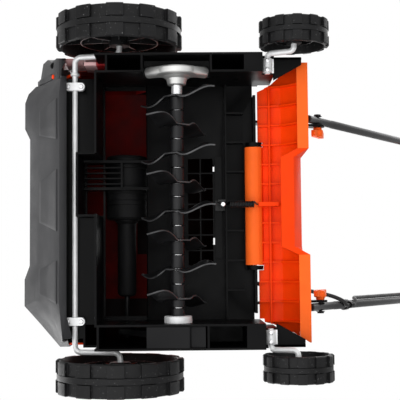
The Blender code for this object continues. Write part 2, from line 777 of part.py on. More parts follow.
def front_cover():
    """Faceted nose: plan outlines that swell forwards to the nose and close up to the hood."""
    wide = DECK_HALF_WIDTH + COVER_OVERHANG
    ear = DECK_HALF_WIDTH + EAR_OVERHANG
    levels = (
        (COVER_LIP_Z, 0.0, wide - 0.006), (0.085, 0.10, wide - 0.003), (0.112, 0.38, wide),
        (0.140, 0.70, wide), (NOSE_Z, 1.0, ear), (0.200, 0.97, ear), (0.228, 0.80, wide - 0.003),
        (0.246, 0.50, wide - 0.020), (0.257, 0.22, wide - 0.056), (HOOD_TOP + GAP, 0.0, wide - 0.120),
    )
    lowered = 0.112
    rows = []
    for z, swell, half in levels:
        row = []
        for share, y in cover_plan():
            place = COVER_REAR_Y + (y - COVER_REAR_Y) * swell
            if z < lowered:
                drop = (lowered - z) / (lowered - COVER_LIP_Z)
                place += (COVER_LIP_Y - COVER_REAR_Y) * drop
            row.append((half * share, place, z))
        rows.append(row)
    shell = skinned(rows, WALL)
    slot = cuboid(
        around(LEVER_X, LEVER_HALF_THICKNESS + 0.002),
        (NOSE_Y - PAST, SEAM_Y + PAST),
        (LEVER_SLOT_BOTTOM, HOOD_TOP + PAST),
    )
    wide_cut = (-2 * DECK_HALF_WIDTH, 2 * DECK_HALF_WIDTH)
    behind = cuboid(wide_cut, (COVER_REAR_Y - GAP, SEAM_Y + 2 * PAST), (0.120, HOOD_TOP + PAST))
    piece(cut(shell, slot, behind), "front_cover", "grey_plastic")


def belt_cover():
    """Tray that closes the drive side from below, stepped under the belt."""
    x = (-DECK_HALF_WIDTH + WALL + GAP, CHAMBER_RIGHT - WALL - GAP)
    wall = TRAY_WALL
    low = TRAY_BOTTOM
    high = TRAY_BOTTOM + TRAY_STEP
    step = ROTOR_Y + 0.016
    outside = [(TRAY_FRONT, TRAY_TOP), (TRAY_FRONT, low), (step, low), (step + wall, high)]
    outside += [(TRAY_REAR, high), (TRAY_REAR, TRAY_TOP)]
    inside = [(TRAY_REAR - wall, TRAY_TOP), (TRAY_REAR - wall, high + wall), (step + wall / 2, high + wall)]
    inside += [(step - wall / 2, low + wall), (TRAY_FRONT + wall, low + wall), (TRAY_FRONT + wall, TRAY_TOP)]
    tray = sheet_outline([outside + inside], "X", x)
    for place in (x[0], x[1] - wall):
        join(tray, sheet_outline([outside], "X", (place, place + wall)))
    piece(tray, "belt_cover", "grey_plastic")


# Bearings, rotor and drive


def bearing_block():
    """Die-cast half-round block with screw ears, its hub pointing into the chamber."""
    centre = (ROTOR_Y, ROTOR_Z)
    top = ROTOR_Z + BLOCK_RISE - GAP
    ear_low = ROTOR_Z - 0.002
    tip = ROTOR_Y - BLOCK_EAR
    bowl = arc(centre, BLOCK_RADIUS, 184, 356, 12)
    left_ear = [(tip, top), (tip - 0.002, top - 0.005), (tip + 0.002, ear_low)]
    right_ear = [(2 * ROTOR_Y - y, z) for y, z in reversed(left_ear)]
    flange_x = (BLOCK_INNER_X, BLOCK_INNER_X + BLOCK_FLANGE)
    flange = sheet_outline([left_ear + bowl + right_ear], "X", flange_x)
    half = BLOCK_RADIUS - WALL / 2
    drum = [(ROTOR_Y - half, top - BITE)] + arc(centre, half, 188, 352, 12) + [(ROTOR_Y + half, top - BITE)]
    body = join(flange, sheet_outline([drum], "X", (BLOCK_INNER_X + BITE, BLOCK_OUTER_X)))
    axis = (0, ROTOR_Y, ROTOR_Z)
    hub = cylinder("X", axis, HUB_RADIUS, (HUB_INNER_X, BLOCK_INNER_X + 0.002), 20, HUB_RADIUS + 0.0035)
    skirt = cylinder("X", axis, 0.023, around(BLOCK_INNER_X, WALL), 20, 0.027)
    above = cuboid((CHAMBER_LEFT - GAP, BLOCK_OUTER_X + PAST), around(ROTOR_Y, 0.06), (top, top + 0.05))
    bore = cylinder("X", axis, SHAFT_RADIUS + GAP, (HUB_INNER_X - PAST, BLOCK_OUTER_X - 0.004), 12)
    piece(cut(join(body, skirt, hub), above, bore), "bearing_block", "cast_aluminium")


def drive_bearing():
    inner = SHAFT_RADIUS + GAP
    spigot = BEARING_RING_RADIUS - SPIGOT_STEP
    face = CHAMBER_RIGHT + GAP
    back = CHAMBER_RIGHT - WALL
    profile = [
        (inner, BEARING_RING_X), (BEARING_RING_RADIUS - BITE, BEARING_RING_X),
        (BEARING_RING_RADIUS, BEARING_RING_X - BITE), (BEARING_RING_RADIUS, face),
        (spigot, face), (spigot, back), (inner, back),
    ]
    piece(turned(profile, "X", (0, ROTOR_Y, ROTOR_Z), 14), "drive_bearing", "zinc_steel")


def blade_places():
    return [FIRST_BLADE_X - BLADE_PITCH * number for number in range(BLADE_COUNT)]


def rotor_shaft():
    """Core bar with a bright collar at the left and spacer sleeves between the blades."""
    slot = BLADE_THICKNESS / 2 + GAP
    places = blade_places()
    stops = [place + slot for place in places[1:]] + [BEARING_RING_X + GAP]
    left_end = HUB_INNER_X - GAP
    start = BLOCK_OUTER_X - 0.0085
    end = PULLEY_X[0] - 0.004
    profile = [(0.0, start), (SHAFT_RADIUS, start), (SHAFT_RADIUS, left_end), (COLLAR_RADIUS, left_end)]
    profile += [(COLLAR_RADIUS, places[0] + slot), (SHAFT_RADIUS, places[0] + slot)]
    for here, stop in zip(places, stops):
        profile += [(SHAFT_RADIUS, here - slot), (SLEEVE_RADIUS, here - slot)]
        profile += [(SLEEVE_RADIUS, stop), (SHAFT_RADIUS, stop)]
    profile += [(SHAFT_RADIUS, end), (0.0, end)]
    shaft = turned(profile, "X", (0, ROTOR_Y, ROTOR_Z), 10)
    piece(shaft, "rotor_shaft", "black_steel", (0, ROTOR_Y, ROTOR_Z))


def blade_rows():
    """Rows across one blade, tip to tip: two swept, twisted arms that bend to opposite sides."""
    flat = SLEEVE_RADIUS + 0.0035
    half = BLADE_HALF_WIDTH
    steps = 5
    arm = []
    for step in range(steps + 1):
        reach = step / steps
        ease = reach * reach * (3 - 2 * reach)
        u = flat + (BLADE_REACH - flat) * reach
        low = -half + 1.64 * half * reach**1.4
        high = half * (1.04 + 0.36 * math.sin(math.pi * reach) - 0.28 * reach)
        twist = BLADE_TWIST * math.sin(math.pi * reach**0.8)
        bend = BLADE_BEND * ease
        arm.append(((bend + twist * low / half, u, low), (bend + twist * high / half, u, high)))
    far = [tuple((-x, -u, -v) for x, u, v in reversed(pair)) for pair in reversed(arm)]
    return far + arm


def blade(number, x):
    shape = skinned(blade_rows(), BLADE_THICKNESS, 0.0)
    bore = cylinder("X", (0, 0, 0), SHAFT_RADIUS + GAP, around(0, PAST), 12)
    shape = settled(cut(shape, bore))
    turn = Matrix.Rotation(math.radians(BLADE_ANGLES[number % 2]), 4, "X")
    shape.data.transform(Matrix.Translation((x, ROTOR_Y, ROTOR_Z)) @ turn)
    piece(shape, f"blade_{number + 1}", "black_steel", (x, ROTOR_Y, ROTOR_Z))


def pulley(name, y, z, seat, bore):
    low, high = PULLEY_X
    flange = seat + PULLEY_FLANGE
    profile = [
        (bore, high), (flange, high), (flange, high - PULLEY_RIM), (seat, high - PULLEY_RIM),
        (seat, low + PULLEY_RIM), (flange, low + PULLEY_RIM), (flange, low), (bore, low),
    ]
    piece(turned(profile, "X", (0, y, z), 12), name, "black_steel", (0, y, z))


def belt_loop(offset):
    """Outline of a belt round both pulleys, at a distance outside their seats."""
    first = Vector((ROTOR_Y, ROTOR_Z))
    second = Vector((MOTOR_Y, MOTOR_Z))
    big = ROTOR_PULLEY_RADIUS + offset
    small = MOTOR_PULLEY_RADIUS + offset
    line = second - first
    heading = math.degrees(math.atan2(line.y, line.x))
    lean = math.degrees(math.acos((big - small) / line.length))
    around_big = arc(first, big, heading + lean, heading + 360.0 - lean, 14)
    around_small = arc(second, small, heading - lean, heading + lean, 7)
    return around_big + around_small


def motor_can(shaft_end):
    """Motor body with two raised bands, and a bore for its shaft at the drive end."""
    bore = MOTOR_SHAFT_RADIUS + GAP
    ridge = MOTOR_RADIUS - 0.0015
    right = MOTOR_RIGHT_X
    left = MOTOR_LEFT_X
    profile = [(0.0, left), (ridge - 0.004, left), (ridge, left - 0.004)]
    for start in (left - 0.008, left - 0.046):
        end = start - MOTOR_BAND
        profile += [(ridge, start), (MOTOR_RADIUS, start), (MOTOR_RADIUS, end), (ridge, end)]
    profile += [(ridge, right + 0.002), (ridge - 0.002, right), (bore, right)]
    profile += [(bore, shaft_end + BITE), (0.0, shaft_end + BITE)]
    piece(turned(profile, "X", (0, MOTOR_Y, MOTOR_Z), 14), "motor_can", "black_plastic")


def drive():
    axis = (0, MOTOR_Y, MOTOR_Z)
    pulley("rotor_pulley", ROTOR_Y, ROTOR_Z, ROTOR_PULLEY_RADIUS, SHAFT_RADIUS + GAP)
    pulley("motor_pulley", MOTOR_Y, MOTOR_Z, MOTOR_PULLEY_RADIUS, MOTOR_SHAFT_RADIUS + GAP)
    belt = sheet_outline([belt_loop(GAP + BELT_THICKNESS), belt_loop(GAP)], "X", BELT_X)
    piece(belt, "drive_belt", "cable")
    shaft_end = MOTOR_RIGHT_X + 0.030
    shaft = cylinder("X", axis, MOTOR_SHAFT_RADIUS, (PULLEY_X[0] - WALL, shaft_end), 12)
    piece(shaft, "motor_shaft", "zinc_steel", axis)
    motor_can(shaft_end)
    bore = MOTOR_SHAFT_RADIUS + GAP
    start = MOTOR_RIGHT_X - GAP
    end = MOTOR_TUBE_END_X
    radius = MOTOR_TUBE_RADIUS
    profile = [(bore, start), (radius + 0.004, start), (radius, start - 0.006), (radius, end), (bore, end)]
    piece(turned(profile, "X", axis, 14), "motor_tube", "black_plastic")


def rotor():
    bearing_block()
    drive_bearing()
    rotor_shaft()
    for number, x in enumerate(blade_places()):
        blade(number, x)
    drive()


# Wheels and axles


def lug_ring(radius, drum, half_angle, span):
    """Tread row: raised lugs with flat tops on a drum, one lug straight down."""
    foot = half_angle + LUG_SLOPE
    corners = ((-foot, drum), (-half_angle, radius), (half_angle, radius), (foot, drum))
    loop = []
    for number in range(LUGS):
        middle = -math.pi / 2 + 2 * math.pi * number / LUGS
        for turn, reach in corners:
            loop.append((reach * math.cos(middle + turn), reach * math.sin(middle + turn)))
    return sheet_outline([loop, circle((0.0, 0.0), drum - 0.6 * RIM_WALL, 16)], "X", span)


def wheel_core(drum, inner_x, width, hub):
    """Rim, dished web and hub in one turned profile, open towards the machine."""
    bore = ROD_RADIUS + GAP
    hole = drum - RIM_WALL
    outer_x = inner_x + width
    web_out = outer_x - WEB_INSET + WEB_THICKNESS
    web_in = outer_x - WEB_INSET
    profile = [
        (drum, outer_x - BITE), (drum, inner_x + BITE), (hole, inner_x + BITE), (hole, web_in),
        (hub, web_in), (hub, inner_x + HUB_INSET), (bore, inner_x + HUB_INSET), (bore, web_out),
        (hole, web_out), (hole, outer_x - BITE),
    ]
    return turned(profile, "X", (0, 0, 0), 16)


def wheel(name, side, place, radius, inner_x, width, hub, ring):
    """One-piece wheel, dished and ribbed on the inner side, built about its own axle line."""
    drum = radius - LUG_HEIGHT - 0.0012
    hole = drum - RIM_WALL
    middle = inner_x + width / 2
    outer_x = inner_x + width
    web = outer_x - WEB_INSET
    body = wheel_core(drum, inner_x, width, hub)
    drum_row = drum + 0.0014
    outer_row = lug_ring(radius, drum_row, LUG_HALF_ANGLE, (middle + TREAD_BAND / 2, outer_x))
    inner_row = lug_ring(
        radius - 0.0012, drum_row, LUG_HALF_ANGLE + LUG_SLOPE, (inner_x, middle - TREAD_BAND / 2)
    )
    rib_span = (inner_x + 0.009, web + BITE)
    band = sheet_outline([circle((0, 0), ring + RIB, 12), circle((0, 0), ring, 12)], "X", rib_span)
    join(body, outer_row, inner_row, band)
    for spoke in range(6):
        rib = cuboid((inner_x + 0.011, web + BITE), (hub - 2 * BITE, hole + 2 * BITE), around(0, RIB / 2))
        rib.data.transform(Matrix.Rotation(math.radians(60 * spoke + 22.5), 4, "X"))
        join(body, rib)
    body = settled(body)
    if side < 0:
        body.data.transform(Matrix.Rotation(math.pi, 4, "Z"))
    body.data.transform(Matrix.Translation(place))
    piece(body, name, "wheel_plastic", place)
    low, high = web + WEB_THICKNESS + GAP, outer_x - 0.0005
    brim = hub + HUB_CAP_BRIM
    cap = [(0.0, high), (hub, high), (brim, high - 0.0025), (brim, low), (0.0, low)]
    if side < 0:
        cap = [(r, -x) for r, x in reversed(cap)]
    piece(turned(cap, "X", place, 16), name.replace("wheel", "hub_cap"), "grey_plastic", place)


def wheels():
    for label, side in sides():
        wheel(
            f"front_wheel_{label}", side, (0, FRONT_WHEEL_Y, FRONT_AXLE_Z), FRONT_WHEEL_RADIUS,
            FRONT_WHEEL_INNER_X, FRONT_WHEEL_WIDTH, FRONT_HUB_RADIUS, FRONT_RING_RADIUS,
        )
        wheel(
            f"rear_wheel_{label}", side, (0, REAR_WHEEL_Y, REAR_HUB_Z), REAR_WHEEL_RADIUS,
            REAR_WHEEL_INNER_X, REAR_WHEEL_WIDTH, REAR_HUB_RADIUS, REAR_RING_RADIUS,
        )


def axle_end(inner_x, width):
    """How far out an axle reaches: to the middle of its wheel's web, under the hub cap."""
    return inner_x + width - WEB_INSET + WEB_THICKNESS - 0.0005


def strap(rod_y, rod_z, underside):
    """Saddle strap: a hump round the rod with a flat foot each side."""
    inner = ROD_RADIUS + GAP
    outer = inner + STRAP_THICKNESS
    top = underside - GAP
    foot = top - STRAP_THICKNESS
    half = CLAMP_HALF_LENGTH
    hump = arc((rod_y, rod_z), outer, 200, 340, 7)
    hollow = arc((rod_y, rod_z), inner, 360, 180, 8)
    first = [(rod_y - half, top), (rod_y - half, foot), (rod_y - outer, foot)]
    last = [(rod_y + outer, foot), (rod_y + half, foot), (rod_y + half, top)]
    inside = [(rod_y + inner, top)] + hollow + [(rod_y - inner, top)]
    return first + hump + last + inside


def front_axle():
    reach = axle_end(FRONT_WHEEL_INNER_X, FRONT_WHEEL_WIDTH)
    half = [(CRANK_ARM_X, CRANK_Y, CRANK_Z), (CRANK_ARM_X, FRONT_WHEEL_Y, FRONT_AXLE_Z)]
    half.append((reach, FRONT_WHEEL_Y, FRONT_AXLE_Z))
    corners = [(-x, y, z) for x, y, z in reversed(half)] + half
    crank = rod(rounded_path(corners, CRANK_BEND, 3), ROD_RADIUS)
    piece(crank, "front_axle", "zinc_steel", (0, CRANK_Y, CRANK_Z))
    for label, side in sides():
        span = around(side * CLAMP_X, CLAMP_WIDTH / 2)
        clamp = sheet_outline([strap(CRANK_Y, CRANK_Z, BEAM_BOTTOM)], "X", span)
        piece(clamp, f"axle_clamp_{label}", "zinc_steel")


def depth_lever():
    """Lever keyed to the crank, reaching forwards and up through a slot in the front cover."""
    outer = ROD_RADIUS + LEVER_HUB_WALL
    half = LEVER_WIDTH / 2
    hub = arc((CRANK_Y, CRANK_Z), outer, 200, 415, 10)
    elbow_y, elbow_z = LEVER_ELBOW
    top_y, top_z = LEVER_TOP
    arm = [(elbow_y + half, elbow_z), (top_y + half, top_z), (top_y, top_z + 0.002), (top_y - half, top_z)]
    arm.append((elbow_y - half, elbow_z))
    hole = circle((CRANK_Y, CRANK_Z), ROD_RADIUS + GAP, 12)
    lever = sheet_outline([hub + arm, hole], "X", around(LEVER_X, LEVER_HALF_THICKNESS))
    piece(lever, "depth_lever", "orange_plastic", (0, CRANK_Y, CRANK_Z))


def rear_strap():
    """Half strap: screwed down on one side of the rod only, as its corner is short."""
    inner = ROD_RADIUS + GAP
    outer = inner + STRAP_THICKNESS
    top = CORNER_BOTTOM - GAP
    foot = top - STRAP_THICKNESS
    end = CORNER_REAR - BITE / 2
    hump = arc((REAR_AXLE_Y, REAR_AXLE_Z), outer, 185, 355, 8)
    hollow = arc((REAR_AXLE_Y, REAR_AXLE_Z), inner, 360, 180, 8)
    last = [(REAR_AXLE_Y + outer, foot), (end, foot), (end, top), (REAR_AXLE_Y + inner, top)]
    return [(REAR_AXLE_Y - outer, top)] + hump + last + hollow + [(REAR_AXLE_Y - inner, top)]


def rear_axles():
    reach = axle_end(REAR_WHEEL_INNER_X, REAR_WHEEL_WIDTH)
    for label, side in sides():
        corners = [
            (side * REAR_AXLE_INNER_X, REAR_AXLE_Y, REAR_AXLE_Z),
            (side * REAR_ARM_X, REAR_AXLE_Y, REAR_AXLE_Z),
            (side * REAR_ARM_X, REAR_WHEEL_Y, REAR_HUB_Z),
            (side * reach, REAR_WHEEL_Y, REAR_HUB_Z),
        ]
        stub = rod(rounded_path(corners, REAR_AXLE_BEND, 3), ROD_RADIUS)
        piece(stub, f"rear_axle_{label}", "zinc_steel")
        span = around(side * REAR_CLAMP_X, REAR_CLAMP_WIDTH / 2)
        piece(sheet_outline([rear_strap()], "X", span), f"rear_axle_clamp_{label}", "zinc_steel")


def axles():
    front_axle()
    depth_lever()
    rear_axles()


# Flap


def wing_profile():
    """Side view of the flap's outer skin at its wings, from the root to the folded-in lip."""
    root_z = HINGE_Z + 0.0015
    rise = FLAP_REAR_Y - FLAP_ROOT_Y
    drop = root_z - FLAP_LIP_Z
    shape = ((0.0, 0.0), (0.24, 0.0), (0.51, 0.13), (0.73, 0.38), (0.885, 0.68), (1.0, 1.0))
    line = [(FLAP_ROOT_Y + rise * u, root_z - drop * v) for u, v in shape]
    return line + [(FLAP_REAR_Y - FLAP_LIP_DEPTH, FLAP_LIP_Z)]


def scoop_profile():
    """Side view of the flap's skin in the middle, which turns under earlier than the wings."""
    wing = wing_profile()
    lip = FLAP_LIP_Z + 0.005
    return wing[:3] + [(FLAP_REAR_Y - 0.020, 0.1265), (FLAP_REAR_Y - 0.009, 0.116)] + [
        (FLAP_REAR_Y - 0.0215, lip), (FLAP_REAR_Y - 0.040, lip + 0.0005)
    ]


def inset(line, depth):
    """Line moved to its inner side by a depth."""
    points = [Vector(point) for point in line]
    moved = []
    for number, point in enumerate(points):
        before = points[max(number - 1, 0)]
        after = points[min(number + 1, len(points) - 1)]
        run = (after - before).normalized()
        moved.append((point.x + run.y * depth, point.y - run.x * depth))
    return moved


def flap_skin():
    """Lofted shell: wing sections at both ends that blend into the scooped section between them."""
    wide = FLAP_HALF_WIDTH + PAST
    scoop_end = SCOOP_HALF_WIDTH
    wing_start = SCOOP_HALF_WIDTH + SCOOP_BLEND
    stations = (
        (-wide, wing_profile()), (-wing_start, wing_profile()), (-scoop_end, scoop_profile()),
        (scoop_end, scoop_profile()), (wing_start, wing_profile()), (wide, wing_profile()),
    )
    return skinned([[(x, y, z) for y, z in line] for x, line in stations], WALL)


def flap_ribs(shell):
    """Ribs under the skin, from the root to the lip, and one across behind the hinge."""
    reach = FLAP_HALF_WIDTH - 0.028
    for number in range(FLAP_RIBS):
        x = -reach + 2 * reach * number / (FLAP_RIBS - 1)
        line = scoop_profile() if abs(x) < SCOOP_HALF_WIDTH + SCOOP_BLEND else wing_profile()
        top = inset(line[:5], WALL - BITE / 2)
        under = inset(line[:5], FLAP_RIB_DEPTH)
        join(shell, sheet_outline([top + under[::-1]], "X", around(x, RIB / 2)))
    wide = FLAP_HALF_WIDTH + PAST
    cross_y = FLAP_ROOT_Y + 0.0165
    cross_z = HINGE_Z - WALL + BITE
    join(shell, cuboid((-wide, wide), around(cross_y, RIB / 2), (cross_z - FLAP_RIB_DEPTH, cross_z)))
    return shell


def flap_plan():
    """Plan of the flap: narrow at the root between the deck's corners, wide at the lip."""
    wide = FLAP_HALF_WIDTH
    corner = CORNER_REAR
    rear = FLAP_REAR_Y + PAST
    root = FLAP_ROOT_Y - BITE
    left = [(wide - 0.0345, root), (wide - 0.034, root + BITE), (wide - 0.027, corner - 0.0045)]
    left += [(wide - 0.0235, corner + 0.0005), (wide - 0.0083, corner + 0.018), (wide, corner + 0.029)]
    left.append((wide, rear))
    right = [(wide - 0.0315, root), (wide - 0.0315, corner - 0.0125), (wide - 0.0265, corner - 0.012)]
    right.append((wide - 0.0235, corner + 0.0005))
    right += [(wide - 0.020, corner + 0.009), (wide - 0.0124, corner + 0.028), (wide - 0.005, corner + 0.040)]
    right += [(wide, corner + 0.048), (wide, rear)]
    return left + [(-x, y) for x, y in reversed(right)]


def flap():
    """Ribbed, scooped shell on a hinge barrel, wider at its rear lip than at the hinge."""
    shell = flap_ribs(flap_skin())
    combine(shell, sheet_outline([flap_plan()], "Z", (0.05, 0.20)), "INTERSECT")
    axis = (0, HINGE_Y, HINGE_Z)
    join(shell, cylinder("X", axis, BARREL_RADIUS, (BARREL_RIGHT, BARREL_LEFT)))
    boss_y = (EYE_Y - 0.004, EYE_Y + 0.025)
    boss = cuboid(around(SPRING_X, WALL), boss_y, (SPRING_Z - 0.005, HINGE_Z))
    join(shell, boss)
    for start, end in ear_spans():
        side = math.copysign(2 * GAP, end)
        cut(shell, cylinder("X", axis, EAR_RADIUS + 2 * GAP, (start - side, end + side), 20))
    hole = cylinder("X", axis, PIN_RADIUS + GAP, around(0, FLAP_HALF_WIDTH), 12)
    eye = cylinder("X", (0, EYE_Y, SPRING_Z), EYE_RADIUS, around(SPRING_X, PAST), 10)
    piece(cut(shell, hole, eye), "flap", "orange_plastic", axis)
    pin_ends = (ear_spans()[1][1], ear_spans()[0][1])
    piece(cylinder("X", axis, PIN_RADIUS, pin_ends, 12), "flap_hinge_pin", "zinc_steel")


def flap_spring():
    """Bracket under the roof with its peg, and the extension spring from it to the flap's eye."""
    seat = ROOF_UNDER - STRIP_DEPTH - GAP
    plate = cuboid(around(SPRING_X, 0.008), (PEG_Y - 0.010, PEG_Y + 0.0045), (seat - 0.0022, seat))
    leg_x = (SPRING_X + 0.004, SPRING_X + 0.007)
    leg = cuboid(leg_x, (PEG_Y - 0.007, PEG_Y + 0.0045), (SPRING_Z - 0.006, seat - BITE))
    peg = cylinder("X", (0, PEG_Y, SPRING_Z), PEG_RADIUS, around(SPRING_X, 0.005), 12)
    piece(join(plate, leg, peg), "spring_bracket", "black_steel")
    start, end = PEG_Y + 0.011, EYE_Y - 0.010
    steps = SPRING_TURNS * 6
    coil = SPRING_RADIUS - SPRING_WIRE
    turns = []
    for step in range(steps + 1):
        angle = 2 * math.pi * SPRING_TURNS * step / steps
        place = start + (end - start) * step / steps
        turns.append((SPRING_X + coil * math.cos(angle), place, SPRING_Z + coil * math.sin(angle)))
    peg_rear = PEG_Y + PEG_RADIUS + GAP
    front_hook = [(SPRING_X, peg_rear, SPRING_Z), (SPRING_X, start - 0.0025, SPRING_Z)]
    rear_hook = [(SPRING_X, end + 0.002, SPRING_Z), (SPRING_X, EYE_Y - 0.004 - GAP, SPRING_Z)]
    piece(rod(front_hook + turns + rear_hook, SPRING_WIRE, 0), "flap_spring", "black_steel")


# Handle


def tube_x(side):
    return HANDLE_X + side * TUBE_SPREAD


def bow_x(side):
    return HANDLE_X + side * BOW_SPREAD


def inner_face(side):
    """Where the inner side of a lower tube is, along X."""
    return tube_x(side) - side * (TUBE_RADIUS + GAP)


def handle_bracket(label, side):
    """Plate that stands on the deck's rear shelf, with the end of a handle tube bolted to its outer side."""
    pivot = (HANDLE_PIVOT_Y, HANDLE_PIVOT_Z)
    foot = DECK_TOP + GAP
    eye = TUBE_RADIUS + 0.0045
    lower = [(0.066, foot), (0.094, foot), (0.112, foot + 0.012), (0.150, foot + 0.026)]
    lower.append((0.186, foot + 0.045))
    upper = [(0.150, foot + 0.053), (0.100, foot + 0.034), (0.066, foot + 0.012)]
    outline = lower + arc(pivot, eye, -50, 130, 8) + upper
    face = inner_face(side)
    span = sorted((face, face - side * BRACKET_THICKNESS))
    plate = sheet_outline([outline, circle(pivot, BOLT_RADIUS + GAP, 12)], "X", span)
    shelf_x = sorted((face, face - side * BRACKET_FOOT))
    shelf = cuboid(shelf_x, (0.0665, 0.0935), (foot, foot + BRACKET_THICKNESS))
    piece(join(plate, shelf), f"handle_bracket_{label}", "black_plastic")


def on_handle(shape, x=0.0):
    """Moves a shape drawn with Z along the handle and Y towards its rear to its place on it."""
    turn = Matrix.Rotation(HANDLE_SLOPE - math.pi / 2, 4, "X")
    shape.data.transform(Matrix.Translation((x, HANDLE_PIVOT_Y, HANDLE_PIVOT_Z)) @ turn)
    return shape


def handle_tube(label, side):
    x = tube_x(side)
    tube = on_handle(cylinder("Z", (0, 0, 0), TUBE_RADIUS, (-TUBE_END, LOWER_TUBE_LENGTH), 14), x)
    for place in (at(0.0), at(UPPER_PIVOT)):
        cut(tube, cylinder("X", place, BOLT_RADIUS + GAP, around(x, 0.02), 12))
    piece(settled(tube), f"handle_tube_{label}", "tube_paint", PIVOT)


def wing_outline():
    root = 0.0032
    tip = 0.0045
    corner = KNOB_SPAN - 0.003
    upper = [(0.005, root), (corner, tip), (KNOB_SPAN, tip - 0.002), (KNOB_SPAN, -tip + 0.002)]
    upper += [(corner, -tip), (0.005, -root)]
    return upper + [(-u, -v) for u, v in upper]


def wing_knob(name, side, centre, inner_x, bolt_end_x):
    """Wing knob with its bolt, turning about the bolt's own line."""
    neck = inner_x - side * KNOB_NECK
    tip = inner_x - side * KNOB_HEIGHT
    shape = cylinder("X", centre, KNOB_RADIUS * 0.75, (inner_x - side * GAP, neck), 10)
    body = cylinder("X", centre, KNOB_RADIUS, (neck + side * BITE, tip + side * 2 * BITE), 12)
    wings = sheet_outline([wing_outline()], "X", sorted((neck, tip)))
    wings.data.transform(Matrix.Translation((0, centre.y, centre.z)) @ Matrix.Rotation(KNOB_LEAN, 4, "X"))
    bolt = cylinder("X", centre, BOLT_RADIUS, (bolt_end_x + side * BITE, neck - side * BITE), 8)
    head = cylinder("X", centre, BOLT_HEAD_RADIUS, (bolt_end_x, bolt_end_x + side * BOLT_HEAD_HEIGHT), 6)
    join(shape, body, wings, bolt, head)
    piece(shape, name, "orange_plastic", (0, centre.y, centre.z))


def upper_handle():
    start = UPPER_PIVOT - 0.014
    corners = [at(start, 0, bow_x(-1)), at(BOW_LENGTH, 0, bow_x(-1))]
    corners += [at(BOW_LENGTH, 0, bow_x(1)), at(start, 0, bow_x(1))]
    bow = rod(rounded_path(corners, BOW_CORNER, 5), TUBE_RADIUS, 2)
    pivot = at(UPPER_PIVOT)
    hole = cylinder("X", pivot, BOLT_RADIUS + GAP, around(HANDLE_X, BOW_SPREAD + 0.05), 12)
    inner = bow_x(1) - TUBE_RADIUS
    socket = cylinder("X", at(BAIL_PIVOT), BAIL_RADIUS + GAP, (inner - 0.002, bow_x(1) + BITE), 10)
    piece(settled(cut(bow, hole, socket)), "upper_handle", "tube_paint", pivot)
    bore = TUBE_RADIUS + 2 * GAP
    low, high = around(HANDLE_X, GRIP_HALF_LENGTH)
    profile = [
        (bore, high), (GRIP_RADIUS - 0.002, high), (GRIP_RADIUS, high - 0.003),
        (GRIP_RADIUS, low + 0.003), (GRIP_RADIUS - 0.002, low), (bore, low),
    ]
    piece(turned(profile, "X", at(BOW_LENGTH), 14), "foam_grip", "foam", pivot)


def switch_box():
    """Housing clamped round the right bow tube, with the button on top and the inlet below."""
    pivot = at(UPPER_PIVOT)
    half = SWITCH_HALF_WIDTH
    x = bow_x(-1)
    front, chamfer, back = -0.034, 0.006, 0.017
    plan = [(-half, front + chamfer), (-half + chamfer, front), (half - chamfer, front)]
    plan += [(half, front + chamfer), (half, back), (-half, back)]
    box = on_handle(sheet_outline([plan], "Z", (SWITCH_FROM, SWITCH_TO)), x)
    bore_span = (SWITCH_FROM - PAST, SWITCH_TO + PAST)
    tunnel = on_handle(cylinder("Z", (0, 0, 0), TUBE_RADIUS + GAP, bore_span, 14), x)
    face = x + half
    socket = cylinder("X", at(BAIL_PIVOT), BAIL_RADIUS + GAP, (face - 0.006, face + PAST), 10)
    button_at = (0, 0, SWITCH_FROM + BUTTON_PLACE)
    well = on_handle(cylinder("Y", button_at, BUTTON_RADIUS + GAP, (front - 0.006, front + 0.014), 14), x)
    piece(cut(box, tunnel, socket, well), "switch_box", "black_plastic", pivot)
    button = on_handle(cylinder("Y", button_at, BUTTON_RADIUS, (front - 0.0055, front + 0.0075), 14), x)
    piece(button, "lock_off_button", "orange_plastic", pivot)
    shroud = cuboid(around(0, 0.014), (-0.030, -0.010), (SWITCH_FROM - 0.026, SWITCH_FROM - GAP))
    mouth = cuboid(around(0, 0.0115), (-0.0275, -0.0125), (SWITCH_FROM - 0.03, SWITCH_FROM - 0.006))
    piece(cut(on_handle(shroud, x), on_handle(mouth, x)), "power_inlet", "black_plastic", pivot)


def bail():
    """Bar across the bow that the operator pulls to the grip to run the machine."""
    hinge = at(BAIL_PIVOT)
    top = at(BAIL_PIVOT + BAIL_REACH * math.cos(BAIL_TILT), BAIL_REACH * math.sin(BAIL_TILT))
    left_end = bow_x(1) - WALL
    right_end = bow_x(-1) + SWITCH_HALF_WIDTH - 0.004
    left = bow_x(1) - BAIL_INSET
    right = bow_x(-1) + SWITCH_HALF_WIDTH + 0.0085
    corners = [
        (right_end, hinge.y, hinge.z), (right, hinge.y, hinge.z), (right, top.y, top.z),
        (left, top.y, top.z), (left, hinge.y, hinge.z), (left_end, hinge.y, hinge.z),
    ]
    piece(rod(rounded_path(corners, BAIL_BEND, 3), BAIL_RADIUS, 1), "start_bail", "orange_plastic", hinge)


def smooth_route(points, steps):
    """Smooth curve through a lead's own points."""
    route = []
    padded = [points[0]] + list(points) + [points[-1]]
    for a, b, c, d in zip(padded, padded[1:], padded[2:], padded[3:]):
        a, b, c, d = Vector(a), Vector(b), Vector(c), Vector(d)
        for step in range(steps):
            t = step / steps
            bend = 2 * b + (c - a) * t + (2 * a - 5 * b + 4 * c - d) * t**2 + (3 * b - a - 3 * c + d) * t**3
            route.append(bend / 2)
    route.append(Vector(points[-1]))
    return route


